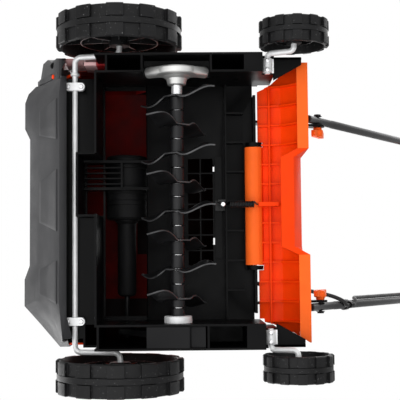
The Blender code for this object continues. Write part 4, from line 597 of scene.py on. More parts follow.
def makeWheel(end, label, side):
    size = wheelSet[end]
    inner = size["inner"]
    outer = inner + size["width"]
    middle = inner + size["width"] / 2
    top = size["radius"]
    valley = top - size["lug"]
    crown = top - wheelSet["proud"]
    hole = valley - size["rim"]
    webIn = outer - wheelSet["webInset"]
    webOut = webIn + wheelSet["web"]
    hub = size["hub"]
    ring = size["ring"]
    band = size["band"]
    bore = wheelSet["bore"]
    foot = inner + wheelSet["hubInset"]
    windowLow = hub + 0.0065
    windowHigh = hole - 0.0045
    profile = [
        (valley - 0.0014, inner), (valley, inner + 0.0014), (valley, middle - band - 0.0008),
        (crown, middle - band), (crown, middle + band), (valley, middle + band + 0.0008),
        (valley, outer - 0.0014), (valley - 0.0014, outer), (hole + 0.0012, outer), (hole, outer - 0.0014),
        (hole - 0.0008, webOut), (windowHigh, webOut), (windowLow, webOut), (hub + 0.0048, webOut),
        (bore, webOut), (bore, foot), (hub - 0.0012, foot), (hub, foot + 0.0012), (hub + 0.0010, webIn),
        (ring - 0.0012, webIn), (ring - 0.0008, inner + 0.0085), (ring + 0.0008, inner + 0.0085),
        (ring + 0.0012, webIn), (hole - 0.0014, webIn), (hole, inner + 0.003), (hole + 0.0010, inner),
    ]
    bm = bmesh.new()
    centre = Vector((0.0, size["y"], top))
    lathe(bm, profile, "X", centre, wheelSet["steps"])
    bmesh.ops.remove_doubles(bm, verts=bm.verts, dist=0.000004)
    bmesh.ops.recalc_face_normals(bm, faces=bm.faces)
    lugs = []
    windows = []
    for face in bm.faces:
        place = face.calc_center_median()
        reach = math.hypot(place.y - centre.y, place.z - centre.z)
        angle = wheelAngle(place, centre)
        inRow = abs(place.x - middle) > band + 0.0010
        if reach > valley - 0.0011 and inRow and offPitch(angle, wheelSet["pitch"]) < wheelSet["lugHalf"]:
            lugs.append(face)
        onWeb = abs(place.x - webOut) < 0.0001 and windowLow < reach < windowHigh
        if onWeb and offPitch(angle, 60.0) < 20.7:
            windows.append(face)
    bmesh.ops.inset_region(bm, faces=windows, thickness=0.0012, depth=-0.0016, use_even_offset=True)
    raised = bmesh.ops.extrude_face_region(bm, geom=lugs)
    bmesh.ops.delete(bm, geom=[face for face in lugs if face.is_valid], context="FACES")
    for vert in [item for item in raised["geom"] if isinstance(item, bmesh.types.BMVert)]:
        out = Vector((0.0, vert.co.y - centre.y, vert.co.z - centre.z))
        vert.co += out.normalized() * size["lug"]
    for spoke in range(size["spokes"]):
        rib = boxIn(bm, (inner + 0.0105, webIn + 0.001), (hub - 0.002, hole + 0.001), around(0.0, 0.00085))
        turn = Matrix.Rotation(2 * math.pi * (spoke + 0.3) / size["spokes"], 4, "X")
        bmesh.ops.transform(bm, matrix=Matrix.Translation(centre) @ turn, verts=rib)
    for face in bm.faces:  # painted highlights on the ribs' edges, seen from the inner side
        place = face.calc_center_median()
        reach = math.hypot(place.y - centre.y, place.z - centre.z)
        onRing = abs(place.x - inner - 0.0085) < 0.0002 and abs(reach - ring) < 0.002
        onSpoke = abs(place.x - inner - 0.0105) < 0.0002 and hub < reach < hole
        face.material_index = 1 if onRing or onSpoke else 0
    if side < 0:
        bmesh.ops.scale(bm, vec=(-1.0, 1.0, 1.0), verts=bm.verts)
    softEdge(standIn(f"{end}_wheel_{label}", bm, ["wheel_plastic", "rib_painted_highlight"]), 0.0006)
    low = webOut + 0.0003
    high = outer - 0.0005
    brim = hub + 0.004
    cap = [
        (0.0, high - 0.0012), (hub * 0.30, high - 0.0012), (hub * 0.36, high), (hub * 0.80, high - 0.0003),
        (hub + 0.0005, high - 0.0014), (brim - 0.0012, high - 0.0030), (brim, high - 0.0042), (brim, low),
        (0.0, low),
    ]
    bm = bmesh.new()
    lathe(bm, cap, "X", centre, 40)
    if side < 0:
        bmesh.ops.scale(bm, vec=(-1.0, 1.0, 1.0), verts=bm.verts)
    standIn(f"{end}_hub_cap_{label}", bm, sharp=24.0)


for end in ("front", "rear"):
    for label, side in (("left", 1), ("right", -1)):
        makeWheel(end, label, side)
print("wheels turned")


# axle rods, their clamps and screws

axleSet = {
    "rod": 0.004,
    "crank": (-0.161, 0.104),
    "crankArm": 0.2115,
    "crankBend": 0.009,
    "frontEnd": 0.2585,
    "frontWheel": (-0.096, 0.08983),
    "rearLine": (0.114, 0.066),
    "rearInner": 0.178,
    "rearArm": 0.2073,
    "rearBend": 0.007,
    "rearEnd": 0.242,
    "rearWheel": (0.150, 0.04864),
    "strap": 0.0022,
    "clampX": 0.168,
    "clampHalf": 0.0145,
    "clampWidth": 0.0115,
    "clampTop": 0.1080,
    "rearClampX": 0.190,
    "rearClampWidth": 0.020,
    "rearClampTop": 0.070,
    "rearClampEnd": 0.1235,
}


def makeFrontAxle():
    y, z = axleSet["crank"]
    wheelY, wheelZ = axleSet["frontWheel"]
    arm = axleSet["crankArm"]
    half = [(arm, y, z), (arm, wheelY, wheelZ), (axleSet["frontEnd"], wheelY, wheelZ)]
    corners = [(-x, b, c) for x, b, c in reversed(half)] + half
    bm = bmesh.new()
    bentRod(bm, corners, axleSet["crankBend"], axleSet["rod"], 24, 10)
    softEdge(standIn("front_axle", bm), 0.0006)


def makeRearAxle(label, side):
    y, z = axleSet["rearLine"]
    wheelY, wheelZ = axleSet["rearWheel"]
    corners = [
        (side * axleSet["rearInner"], y, z), (side * axleSet["rearArm"], y, z),
        (side * axleSet["rearArm"], wheelY, wheelZ), (side * axleSet["rearEnd"], wheelY, wheelZ),
    ]
    bm = bmesh.new()
    bentRod(bm, corners, axleSet["rearBend"], axleSet["rod"], 24, 10)
    softEdge(standIn(f"rear_axle_{label}", bm), 0.0006)


def strapLine(bm, y, z, radius, feet):
    # hump over the rod by spinning one vertex, with a foot drawn out where there is one
    start = bm.verts.new((0.0, y - radius, z))
    swept = bmesh.ops.spin(
        bm, geom=[start], cent=(0.0, y, z), axis=(1.0, 0.0, 0.0), angle=math.pi, steps=14
    )
    last = [item for item in swept["geom_last"] if isinstance(item, bmesh.types.BMVert)][0]
    for vert, (end, top) in zip((start, last), feet):
        rise = bmesh.ops.extrude_vert_indiv(bm, verts=[vert])["verts"][0]
        rise.co.z = top
        if end is not None:
            tip = rise
            for step in range(1, 7):
                tip = bmesh.ops.extrude_vert_indiv(bm, verts=[tip])["verts"][0]
                tip.co.y = rise.co.y + (end - rise.co.y) * step / 6


def widen(bm, x, width, cuts):
    edges = list(bm.edges)
    bmesh.ops.translate(bm, vec=(x - width / 2, 0.0, 0.0), verts=bm.verts)
    for step in range(cuts):
        edges = drawOut(bm, edges, Vector((width / cuts, 0.0, 0.0)))


def makeClamp(label, side):
    # oval cap over the rod, open towards the deck, with a round notch on each side and two screws
    y, z = axleSet["crank"]
    half = axleSet["clampHalf"]
    wide = axleSet["clampWidth"]
    x = side * axleSet["clampX"]
    room = axleSet["rod"] + 0.0005
    low = z - axleSet["rod"] - 0.0003 - axleSet["strap"]
    bm = bmesh.new()
    ring = bmesh.ops.create_circle(bm, cap_ends=True, radius=wide / 2, segments=32)["verts"]
    bmesh.ops.rotate(bm, cent=(0, 0, 0), matrix=Matrix.Rotation(math.pi / 32, 3, "Z"), verts=ring)
    for vert in ring:
        vert.co.y += math.copysign(half - wide / 2, vert.co.y)
    sides = [edge for edge in bm.edges if edge.calc_length() > half]
    bmesh.ops.subdivide_edges(bm, edges=sides, cuts=15)
    drawOut(bm, [edge for edge in bm.edges if edge.is_boundary], Vector((0.0, 0.0, axleSet["clampTop"] - low)))
    for vert in bm.verts:
        if vert.co.z > 0.001 and abs(vert.co.y) < room:
            vert.co.z = z - low - math.sqrt(room**2 - vert.co.y**2)
    bmesh.ops.translate(bm, vec=(x, y, low), verts=bm.verts)
    piece = standIn(f"axle_clamp_{label}", bm)
    wallOf(piece, axleSet["strap"], offset=-1.0)
    softEdge(piece, 0.0009, 40.0, 3)
    bm = bmesh.new()
    for way in (-1, 1):
        screwHead(bm, (x, y + way * (half - wide / 2 + 0.0006), low), (0.0, 0.0, -1.0), 0.0033, 0.0020)
    addPiece(f"clampScrews_{label}", bm, "bright_steel", "chassis")


def makeRearClamp(label, side):
    # half strap over the rear rod, held by two screws side by side
    y, z = axleSet["rearLine"]
    x = side * axleSet["rearClampX"]
    level = axleSet["rearClampTop"] - axleSet["strap"] / 2
    radius = axleSet["rod"] + 0.0003 + axleSet["strap"] / 2
    bm = bmesh.new()
    strapLine(bm, y, z, radius, ((None, level), (axleSet["rearClampEnd"], level)))
    widen(bm, x, axleSet["rearClampWidth"], 4)
    piece = standIn(f"rear_axle_clamp_{label}", bm)
    wallOf(piece, axleSet["strap"])
    softEdge(piece, 0.0005)
    bm = bmesh.new()
    for way in (-1, 1):
        place = (x + way * 0.0066, y, z - radius - axleSet["strap"] / 2 + 0.0003)
        screwHead(bm, place, (0.0, 0.0, -1.0), 0.0034, 0.0018)
    addPiece(f"rearClampScrews_{label}", bm, "bright_steel", "chassis")


makeFrontAxle()
for label, side in (("left", 1), ("right", -1)):
    makeRearAxle(label, side)
    makeClamp(label, side)
    makeRearClamp(label, side)
print("axles bent and clamped")


# rotor: shaft with spacer sleeves and eight two-ended blades

rotorSet = {
    "shaft": 0.006,
    "collar": 0.0077,
    "sleeve": 0.0095,
    "start": 0.186,
    "hubFace": 0.1647,
    "end": -0.198,
    "ringFace": -0.1597,
    "firstBlade": 0.1495,
    "pitch": 0.0408,
    "blades": 8,
    "slot": 0.00155,
    "chamfer": 0.0007,
    "groove": 0.0005,
    "reach": 0.066,
    "half": 0.0125,
    "thickness": 0.0023,
    "bend": 0.0070,
    "twist": 0.0075,
    "angles": (314.5, 224.5),
}


def bladePlaces():
    return [rotorSet["firstBlade"] - rotorSet["pitch"] * number for number in range(rotorSet["blades"])]


def sleeveProfile(high, low):
    radius = rotorSet["sleeve"]
    cut = rotorSet["chamfer"]
    return [
        (rotorSet["shaft"], high), (radius - cut, high), (radius, high - cut), (radius, low + cut),
        (radius - cut, low), (rotorSet["shaft"], low),
    ]


def makeShaft():
    shaft = rotorSet["shaft"]
    collar = rotorSet["collar"]
    slot = rotorSet["slot"]
    places = bladePlaces()
    stops = [place + slot for place in places[1:]] + [rotorSet["ringFace"]]
    profile = [(0.0, rotorSet["start"]), (shaft - 0.0008, rotorSet["start"]), (shaft, rotorSet["start"] - 0.0008)]
    profile += [(shaft, rotorSet["hubFace"]), (collar - 0.0006, rotorSet["hubFace"])]
    profile += [(collar, rotorSet["hubFace"] - 0.0006), (collar, places[0] + slot + 0.0006)]
    profile += [(collar - 0.0006, places[0] + slot), (shaft, places[0] + slot)]
    for here, stop in zip(places, stops):
        top = here - slot
        seam = (top + stop) / 2
        profile += sleeveProfile(top, seam + rotorSet["groove"])
        profile += sleeveProfile(seam - rotorSet["groove"], stop)
    profile += [(shaft, rotorSet["end"] + 0.0008), (shaft - 0.0008, rotorSet["end"]), (0.0, rotorSet["end"])]
    bm = bmesh.new()
    lathe(bm, profile, "X", (0.0, rotorLine["y"], rotorLine["z"]), 40)
    for face in bm.faces:
        reach = face.calc_center_median()
        out = math.hypot(reach.y - rotorLine["y"], reach.z - rotorLine["z"])
        face.material_index = 1 if reach.x > places[0] + slot or out < shaft + 0.0005 else 0
    standIn("rotor_shaft", bm, ["sleeve_steel", "bright_steel"], sharp=24.0)


def bladeArm(share):
    # edges, sideways bend and twist of an arm at a share of its free length
    half = rotorSet["half"]
    low = -half + 1.64 * half * share**1.4
    high = half * (1.04 + 0.36 * math.sin(math.pi * share) - 0.28 * share)
    bend = rotorSet["bend"] * share * share * (3 - 2 * share)
    twist = rotorSet["twist"] * math.sin(math.pi * share**0.8)
    return low, high, bend, twist


def bladePoint(u, across):
    flat = rotorSet["sleeve"] + 0.0035
    half = rotorSet["half"]
    share = max(0.0, (abs(u) - flat) / (rotorSet["reach"] - flat))
    low, high, bend, twist = bladeArm(share)
    if u < -flat:
        low, high, bend = -high, -low, -bend
    elif u < flat:
        part = (u + flat) / (2 * flat)
        low = -half * (1.04 - 0.04 * part)
        high = half * (1.0 + 0.04 * part)
    v = low + (high - low) * across
    return Vector((bend + twist * v / half, u, v))


def makeBlade(number, x):
    bm = bmesh.new()
    bmesh.ops.create_grid(bm, x_segments=44, y_segments=5, size=0.5)
    turn = Matrix.Rotation(math.radians(rotorSet["angles"][number % 2]), 3, "X")
    middle = Vector((x, rotorLine["y"], rotorLine["z"]))
    for vert in bm.verts:
        vert.co = middle + turn @ bladePoint(vert.co.x * 2 * rotorSet["reach"], vert.co.y + 0.5)
    # the rim faces get the lighter finish: worn steel and a painted highlight
    piece = standIn(f"blade_{number + 1}", bm, ["black_steel", "rim_wear_and_painted_highlight"], sharp=50.0)
    wallOf(piece, rotorSet["thickness"], 1)
    softEdge(piece, 0.0005, 50.0)


def makeDriveBearing():
    face = -0.1697
    ring = [
        (0.0063, -0.160), (0.0105, -0.160), (0.0110, -0.1608), (0.0130, -0.1608), (0.0135, -0.160),
        (0.0185, -0.160), (0.0195, -0.161), (0.0195, face), (0.0180, face), (0.0180, -0.173), (0.0063, -0.173),
    ]
    bm = bmesh.new()
    lathe(bm, ring, "X", (0.0, rotorLine["y"], rotorLine["z"]), 48)
    standIn("drive_bearing", bm, sharp=24.0)


blockSet = {
    "bore": 0.0064,
    "turned": (
        (0.0118, 0.1652), (0.0130, 0.1660), (0.0138, 0.1700), (0.0150, 0.1742), (0.0168, 0.1750), (0.0196, 0.1776),
        (0.0250, 0.1783), (0.0318, 0.1783), (0.0332, 0.1797), (0.0335, 0.1815), (0.0335, 0.1868), (0.0318, 0.1888),
        (0.0, 0.1888), (0.0, 0.1868), (0.0064, 0.1868),
    ),
    "top": 0.0876,
    "ear": 0.0388,
    "earX": 0.1836,
    "earRadius": 0.0066,
    "earLow": 0.0705,
    "root": (0.0215, 0.0530),
    "rootX": (0.1790, 0.1880),
}


def makeBlock():
    # turned bowl and hub, cut off level at the deck, with a webbed ear on each side
    top = blockSet["top"]
    bm = bmesh.new()
    turned = [(blockSet["bore"], blockSet["turned"][0][1])] + list(blockSet["turned"])
    lathe(bm, turned, "X", (0.0, rotorLine["y"], rotorLine["z"]), 64)
    bmesh.ops.remove_doubles(bm, verts=bm.verts, dist=0.000004)
    geom = bm.verts[:] + bm.edges[:] + bm.faces[:]
    bmesh.ops.bisect_plane(
        bm, geom=geom, dist=0.00001, plane_co=(0.0, 0.0, top), plane_no=(0.0, 0.0, 1.0), clear_outer=True
    )
    bmesh.ops.holes_fill(bm, edges=[edge for edge in bm.edges if edge.is_boundary], sides=0)
    screws = bmesh.new()
    for way in (-1, 1):
        place = Vector((blockSet["earX"], rotorLine["y"] + way * blockSet["ear"], blockSet["earLow"]))
        lug = []
        for z in (blockSet["earLow"], top - 0.0004):
            ring = bmesh.ops.create_circle(bm, radius=blockSet["earRadius"], segments=24)["verts"]
            bmesh.ops.translate(bm, vec=(place.x, place.y, z), verts=ring)
            lug += ring
        rootY, rootZ = blockSet["root"]
        for x in blockSet["rootX"]:
            for z in (rootZ, top - 0.0004):
                lug.append(bm.verts.new((x, rotorLine["y"] + way * rootY, z)))
        bmesh.ops.convex_hull(bm, input=lug)
        screwHead(screws, place, (0.0, 0.0, -1.0), 0.0036, 0.0009)
    softEdge(standIn("bearing_block", bm), 0.0008, 40.0)
    addPiece("blockScrews", screws, "black_steel", "chassis")


makeShaft()
makeBlock()
for number, x in enumerate(bladePlaces()):
    makeBlade(number, x)
makeDriveBearing()
print("rotor assembled")


# motor body and the tube round its shaft

motorSet = {"y": -0.092, "z": 0.185, "radius": 0.0325, "left": 0.076, "right": -0.0205, "bore": 0.0043,
            "tube": 0.014, "tubeEnd": -0.136, "boreEnd": 0.0105}


def makeMotor():
    axis = (0.0, motorSet["y"], motorSet["z"])
    left = motorSet["left"]
    right = motorSet["right"]
    full = motorSet["radius"]
    low = full - 0.0015
    bore = motorSet["bore"]
    profile = [(0.0, left), (low - 0.006, left), (low - 0.002, left - 0.0012), (low, left - 0.005)]
    for start in (left - 0.008, left - 0.046):
        end = start - 0.012
        profile += [(low, start), (full - 0.0004, start - 0.0002), (full, start - 0.0008)]
        profile += [(full, end + 0.0008), (full - 0.0004, end + 0.0002), (low, end)]
    for line in (0.008, 0.001):
        profile += [(low, line + 0.0005), (low - 0.0012, line + 0.0003), (low - 0.0012, line - 0.0003)]
        profile += [(low, line - 0.0005)]
    profile += [(low, right + 0.003), (low - 0.003, right), (bore, right), (bore, motorSet["boreEnd"])]
    profile += [(0.0, motorSet["boreEnd"])]
    bm = bmesh.new()
    lathe(bm, profile, "X", axis, 56)
    standIn("motor_can", bm, "motor_black", 24.0)
    start = right - 0.0003
    radius = motorSet["tube"]
    end = motorSet["tubeEnd"]
    profile = [(bore, start), (radius + 0.004, start), (radius + 0.0036, start - 0.0022)]
    profile += [(radius, start - 0.006), (radius, end + 0.006), (radius - 0.0012, end + 0.0026)]
    profile += [(radius - 0.0040, end + 0.0006), (radius - 0.0062, end), (bore, end)]
    bm = bmesh.new()
    lathe(bm, profile, "X", axis, 40)
    standIn("motor_tube", bm, "motor_black", 24.0)


makeMotor()
print("motor turned")


# flap spring: close coil with a hook at each end

springSet = {"x": -0.002, "z": 0.120, "start": 0.062, "end": 0.097, "radius": 0.0040, "wire": 0.0010,
             "turns": 15, "steps": 14, "peg": 0.0538, "eye": 0.1027}


def makeSpring():
    bm = bmesh.new()
    ring = bmesh.ops.create_circle(bm, cap_ends=False, radius=springSet["wire"], segments=8)["verts"]
    place = Vector((springSet["x"] + springSet["radius"], springSet["start"], springSet["z"]))
    bmesh.ops.translate(bm, vec=place, verts=ring)
    edges = list(bm.edges)
    count = springSet["turns"] * springSet["steps"]
    step = (springSet["end"] - springSet["start"]) / count
    first = list(edges)
    swept = bmesh.ops.spin(
        bm, geom=ring + edges, cent=(springSet["x"], springSet["start"], springSet["z"]), axis=(0.0, 1.0, 0.0),
        dvec=(0.0, step, 0.0), angle=2 * math.pi * springSet["turns"], steps=count,
    )
    last = [item for item in swept["geom_last"] if isinstance(item, bmesh.types.BMEdge)]
    for edges, way, reach in ((first, -1, springSet["peg"]), (last, 1, springSet["eye"])):
        middle = sum((vert.co for edge in edges for vert in edge.verts), Vector()) / (2 * len(edges))
        inward = Vector((springSet["x"], middle.y + way * 0.002, springSet["z"])) - middle
        bent = drawOut(bm, edges, inward * 0.55 + Vector((0.0, way * 0.0006, 0.0)))
        bent = drawOut(bm, bent, inward * 0.45 + Vector((0.0, way * 0.0010, 0.0)))
        verts = {vert for edge in bent for vert in edge.verts}
        centre = sum((vert.co for vert in verts), Vector()) / len(verts)
        bent = drawOut(bm, bent, Vector((springSet["x"], reach, springSet["z"])) - centre)
        bmesh.ops.contextual_create(bm, geom=bent)
    piece = addPiece("flapSpring", bm, "black_steel", None, ("flap_spring",), sharp=60.0)
    reach = Vector((springSet["x"], 0.0, springSet["z"]))
    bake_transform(piece)


makeSpring()
print("spring wound")


# handle: tubes, bow, knobs, grip and bail

tubeSet = {
    "radius": 0.0065,
    "spread": 0.145,
    "bow": 0.1314,
    "end": 0.030,
    "length": 0.365,
    "upper": 0.350,
    "bowLength": 0.870,
    "corner": 0.045,
    "plate": 0.0035,
    "gap": 0.0003,
    "gripHalf": 0.085,
    "grip": 0.0125,
}
knobSet = {"neck": 0.004, "height": 0.016, "radius": 0.009, "span": 0.019, "tip": 0.0045, "root": 0.0032,
           "lean": math.radians(60.0), "bolt": 0.003, "head": 0.006, "headHeight": 0.0035}
bailSet = {"pivot": 0.760, "reach": 0.088, "tilt": math.radians(25.0), "radius": 0.004, "bend": 0.006,
           "switchHalf": 0.021, "inset": 0.0255}


def tubeX(side):
    return handleSet["x"] + side * tubeSet["spread"]


def bowX(side):
    return handleSet["x"] + side * tubeSet["bow"]


def makeTube(label, side):
    x = tubeX(side)
    radius = tubeSet["radius"]
    bm = bmesh.new()
    low = -tubeSet["end"]
    high = tubeSet["length"]
    profile = [  # drawn tube with a plug in its top, reduced a little below the first seam
        (0.0, low), (radius - 0.0016, low), (radius - 0.0004, low + 0.0012), (radius - 0.0004, 0.046),
        (radius, 0.0466), (radius, high - 0.0040), (radius - 0.0004, high - 0.0036),
        (radius - 0.0004, high - 0.0030), (radius, high - 0.0026), (radius - 0.0005, high - 0.0008),
        (radius - 0.0016, high), (0.0, high),
    ]
    lathe(bm, profile, handleAlong, onHandle(0.0, 0.0, x), 32)
    standIn(f"handle_tube_{label}", bm, sharp=40.0)


def makeBow():
    start = tubeSet["upper"] - 0.014
    top = tubeSet["bowLength"]
    corners = [onHandle(start, 0, bowX(-1)), onHandle(top, 0, bowX(-1))]
    corners += [onHandle(top, 0, bowX(1)), onHandle(start, 0, bowX(1))]
    bm = bmesh.new()
    bentRod(bm, corners, tubeSet["corner"], tubeSet["radius"], 28, 14)
    softEdge(standIn("upper_handle", bm), 0.0008)


def makeGrip():
    low, high = around(handleSet["x"], tubeSet["gripHalf"])
    bore = tubeSet["radius"] + 0.0004
    full = tubeSet["grip"]
    profile = [(bore, high), (full - 0.0030, high), (full - 0.0010, high - 0.0008), (full, high - 0.0034)]
    ridges = 11
    for ridge in range(ridges):  # finger grooves
        here = high - 0.012 - (high - low - 0.024) * ridge / (ridges - 1)
        profile += [(full, here + 0.0024), (full - 0.0008, here + 0.0008), (full - 0.0008, here - 0.0008)]
        profile += [(full, here - 0.0024)]
    profile += [(full, low + 0.0034), (full - 0.0010, low + 0.0008), (full - 0.0030, low), (bore, low)]
    bm = bmesh.new()
    lathe(bm, profile, "X", onHandle(tubeSet["bowLength"]), 40)
    grip = standIn("foam_grip", bm, sharp=60.0)


def makeKnob(node, side, centre, innerX, outerX):
    # turned boss with two drawn-out wings, on a bolt whose head is outside the tube
    neck = innerX - side * knobSet["neck"]
    tip = innerX - side * knobSet["height"]
    face = innerX - side * 0.0003
    radius = knobSet["radius"]
    bm = bmesh.new()
    boss = [
        (0.0, face), (radius * 0.72, face), (radius * 0.76, neck + side * 0.001), (radius * 0.96, neck - side * 0.001),
        (radius, neck - side * 0.003), (radius * 0.94, tip + side * 0.004), (radius * 0.78, tip + side * 0.0016),
        (radius * 0.4, tip + side * 0.0006), (0.0, tip + side * 0.0004),
    ]
    lathe(bm, boss, "X", centre, 32)
    wings = boxIn(bm, (neck - side * 0.001, tip), (-knobSet["span"], knobSet["span"]), around(0.0, knobSet["root"]))
    edges = list({edge for vert in wings for edge in vert.link_edges})
    bmesh.ops.subdivide_edges(
        bm, edges=[e for e in edges if abs(e.verts[0].co.y - e.verts[1].co.y) > knobSet["span"]], cuts=7,
        use_grid_fill=True,
    )
    before = [vert for vert in bm.verts if abs(vert.co.z) <= knobSet["root"] + 0.0001 and abs(vert.co.y) < 0.03]
    for vert in before:
        share = abs(vert.co.y) / knobSet["span"]
        thick = knobSet["root"] + (knobSet["tip"] - knobSet["root"]) * share
        vert.co.z = math.copysign(thick * (1.0 if share < 0.95 else 0.62), vert.co.z)
        if share > 0.95:
            vert.co.x += (innerX - side * (knobSet["neck"] + knobSet["height"]) / 2 - vert.co.x) * 0.22
    turn = Matrix.Rotation(knobSet["lean"], 4, "X")
    lift = Matrix.Translation((0.0, centre.y, centre.z)) @ turn
    bmesh.ops.transform(bm, matrix=lift, verts=before)
    bmesh.ops.recalc_face_normals(bm, faces=bm.faces)
    orange = len(bm.faces)
    bolt = [
        (0.0, neck), (knobSet["bolt"], neck), (knobSet["bolt"], outerX), (0.0, outerX),
    ]
    lathe(bm, bolt, "X", centre, 16)
    washer = outerX + side * 0.0008
    lathe(bm, [(0.0, outerX), (0.0072, outerX), (0.0072, washer), (0.0, washer)], "X", centre, 28)
    crown = outerX + side * knobSet["headHeight"]
    head = [
        (0.0, washer), (knobSet["head"], washer), (knobSet["head"], crown - side * 0.0006),
        (knobSet["head"] - 0.0009, crown), (0.0, crown),
    ]
    lathe(bm, head, "X", centre, 6)
    bm.faces.ensure_lookup_table()
    for face in bm.faces[orange:]:
        face.material_index = 1
    piece = standIn(node, bm, ["orange_pale_and_painted_lit", "black_steel"])
    softEdge(piece, 0.0008, 40.0, 3)


def makeBail():
    hinge = onHandle(bailSet["pivot"])
    lean = bailSet["reach"]
    top = onHandle(bailSet["pivot"] + lean * math.cos(bailSet["tilt"]), lean * math.sin(bailSet["tilt"]))
    leftEnd = bowX(1) - 0.003
    rightEnd = bowX(-1) + bailSet["switchHalf"] - 0.004
    left = bowX(1) - bailSet["inset"]
    right = bowX(-1) + bailSet["switchHalf"] + 0.0085
    corners = [
        (rightEnd, hinge.y, hinge.z), (right, hinge.y, hinge.z), (right, top.y, top.z),
        (left, top.y, top.z), (left, hinge.y, hinge.z), (leftEnd, hinge.y, hinge.z),
    ]
    bm = bmesh.new()
    bentRod(bm, corners, bailSet["bend"], bailSet["radius"], 20, 8)
    softEdge(standIn("start_bail", bm), 0.0006)


makeBow()
makeGrip()
makeBail()
for label, side in (("left", 1), ("right", -1)):
    makeTube(label, side)
    reach = tubeSet["radius"] + tubeSet["gap"]
    outerX = tubeX(side) + side * reach
    makeKnob(f"lower_knob_{label}", side, onHandle(0.0), tubeX(side) - side * (reach + tubeSet["plate"]), outerX)
    makeKnob(f"upper_knob_{label}", side, onHandle(tubeSet["upper"]), bowX(side) - side * tubeSet["radius"], outerX)
print("handle bent")


# moulded and pressed parts keep their CAD shape, with softened edges

softSet = {
    "edge": 0.0007,
    "turn": 28.0,
    "own": {
        "deck": 0.0006, "front_cover": 0.0009, "hood": 0.0010, "flap": 0.0008, "bearing_block": 0.0010,
        "switch_box": 0.0016, "handle_bracket_left": 0.0009, "handle_bracket_right": 0.0009,
    },
}


def cadCopy(node):
    bm = bmesh.new()
    bm.from_mesh(nodes[node].data)
    bmesh.ops.remove_doubles(bm, verts=bm.verts, dist=0.000002)
    bmesh.ops.dissolve_limit(bm, angle_limit=math.radians(0.6), verts=bm.verts, edges=bm.edges)
    return bm


def softenNode(node, finish=None, paint=None, shape=None):
    bm = cadCopy(node)
    if shape:
        shape(bm)
    if paint:
        for face in bm.faces:
            face.material_index = paint(face)
    piece = addPiece(
        node + "Soft", bm, finish or slotOf[node], bodyOf[node], (node,), fromCad=True
    )
    return softEdge(piece, softSet["own"].get(node, softSet["edge"]), softSet["turn"])


def hoodSide(face):
    # the inner skin looks at a point inside the hood and gets painted shade, with painted shadow and painted light in
    # places
    inside = Vector((0.0, -0.060, 0.170)) + toFrame
    centre = face.calc_center_median()
    if face.normal.dot(inside - centre) <= 0.0:
        return 0
    if centre.y - toFrame.y > -0.040 or centre.x < -0.150:  # painted shadow: no light behind the grille and on the drive side
        return 3
    # painted light: the hood's left inner side wall gets the mid red, the rest of the inner skin painted shade
    return 2 if face.normal.x < -0.6 and centre.x > 0.19 else 1


def flapSide(face):
    # painted light: barrel and rim get the paler orange because they catch more light than the ribbed inside
    centre = face.calc_center_median() - toFrame
    onBarrel = centre.y < 0.1090 and 0.1240 < centre.z < 0.1640 and abs(centre.x) < 0.092
    onRim = centre.z < 0.0936 and face.normal.z < -0.5
    return 1 if onBarrel or onRim else 0


# front cover: lip turned in, and a notch at the left end where the lever's foot shows

coverSet = {
    "lipZ": 0.0800,
    "lipMove": Vector((0.0, -0.0075, 0.0115)),
    "rowZ": 0.0900,
    "rowMove": Vector((0.0, -0.0050, -0.0060)),
    "endX": 0.1960,
    "endOut": 0.0065,
    "endZ": (0.150, 0.200),
    "notchX": 0.1803,
    "notchZ": 0.1000,
    "notchY": -0.1838,
    "skin": ((0.072, -0.166), (0.085, -0.1733), (0.104, -0.1867)),
    "merge": 0.0006,
}
leverSet = {"x": 0.186, "eye": 0.0052, "hub": 0.0095, "collar": 0.0066, "collarHalf": 0.0018, "elbow": 0.046,
            "waist": 0.006}
sillSet = {"x": (0.1806, 0.1914), "z": (0.1030, 0.1130, 0.1210), "outer": (-0.1864, -0.1924, -0.1962),
           "lips": ((-0.1966, 0.1230), (-0.2058, 0.1400), (-0.2220, 0.1675)), "lipX": (0.1808, 0.1895),
           "lip": 0.0017, "lipWall": Vector((0.0, 0.0022, 0.0012)), "wall": 0.0026, "stop": (0.186, -0.1940), "stopRadius": 0.0034,
           "plug": (0.2030, -0.1950), "plugRadius": 0.0046, "plugTurn": Vector((0.0, 0.0, -1.3)), "plugRoot": 0.0060}


def coverSkin(z):
    # line of the cover's outer skin at its left end
    for (lowZ, lowY), (highZ, highY) in zip(coverSet["skin"], coverSet["skin"][1:]):
        if z <= highZ:
            return lowY + (highY - lowY) * (z - lowZ) / (highZ - lowZ)
    return coverSet["skin"][-1][1]


def shapeCover(bm):
    for x in (coverSet["notchX"] - 0.0004, coverSet["notchX"] + 0.0004):
        geom = bm.verts[:] + bm.edges[:] + bm.faces[:]
        bmesh.ops.bisect_plane(bm, geom=geom, dist=0.00001, plane_co=(x, 0.0, 0.0), plane_no=(1.0, 0.0, 0.0))
    notch = []
    for vert in bm.verts:
        place = vert.co - toFrame
        if place.x > coverSet["endX"]:  # left end drawn out towards the wheel
            full, none = coverSet["endZ"]
            vert.co.x += coverSet["endOut"] * min(1.0, max(0.0, (none - place.z) / (none - full)))
        if place.x > coverSet["notchX"] and place.z < coverSet["notchZ"]:
            off = place.y - coverSkin(place.z)
            vert.co.y = coverSet["notchY"] + off + toFrame.y
            vert.co.z = coverSet["notchZ"] + off * 0.2
            notch.append(vert)
        elif place.z < coverSet["lipZ"]:
            vert.co += coverSet["lipMove"]
        elif place.z < coverSet["rowZ"]:
            vert.co += coverSet["rowMove"]
    bmesh.ops.remove_doubles(bm, verts=notch, dist=coverSet["merge"])
    bmesh.ops.dissolve_degenerate(bm, edges=bm.edges, dist=0.00002)


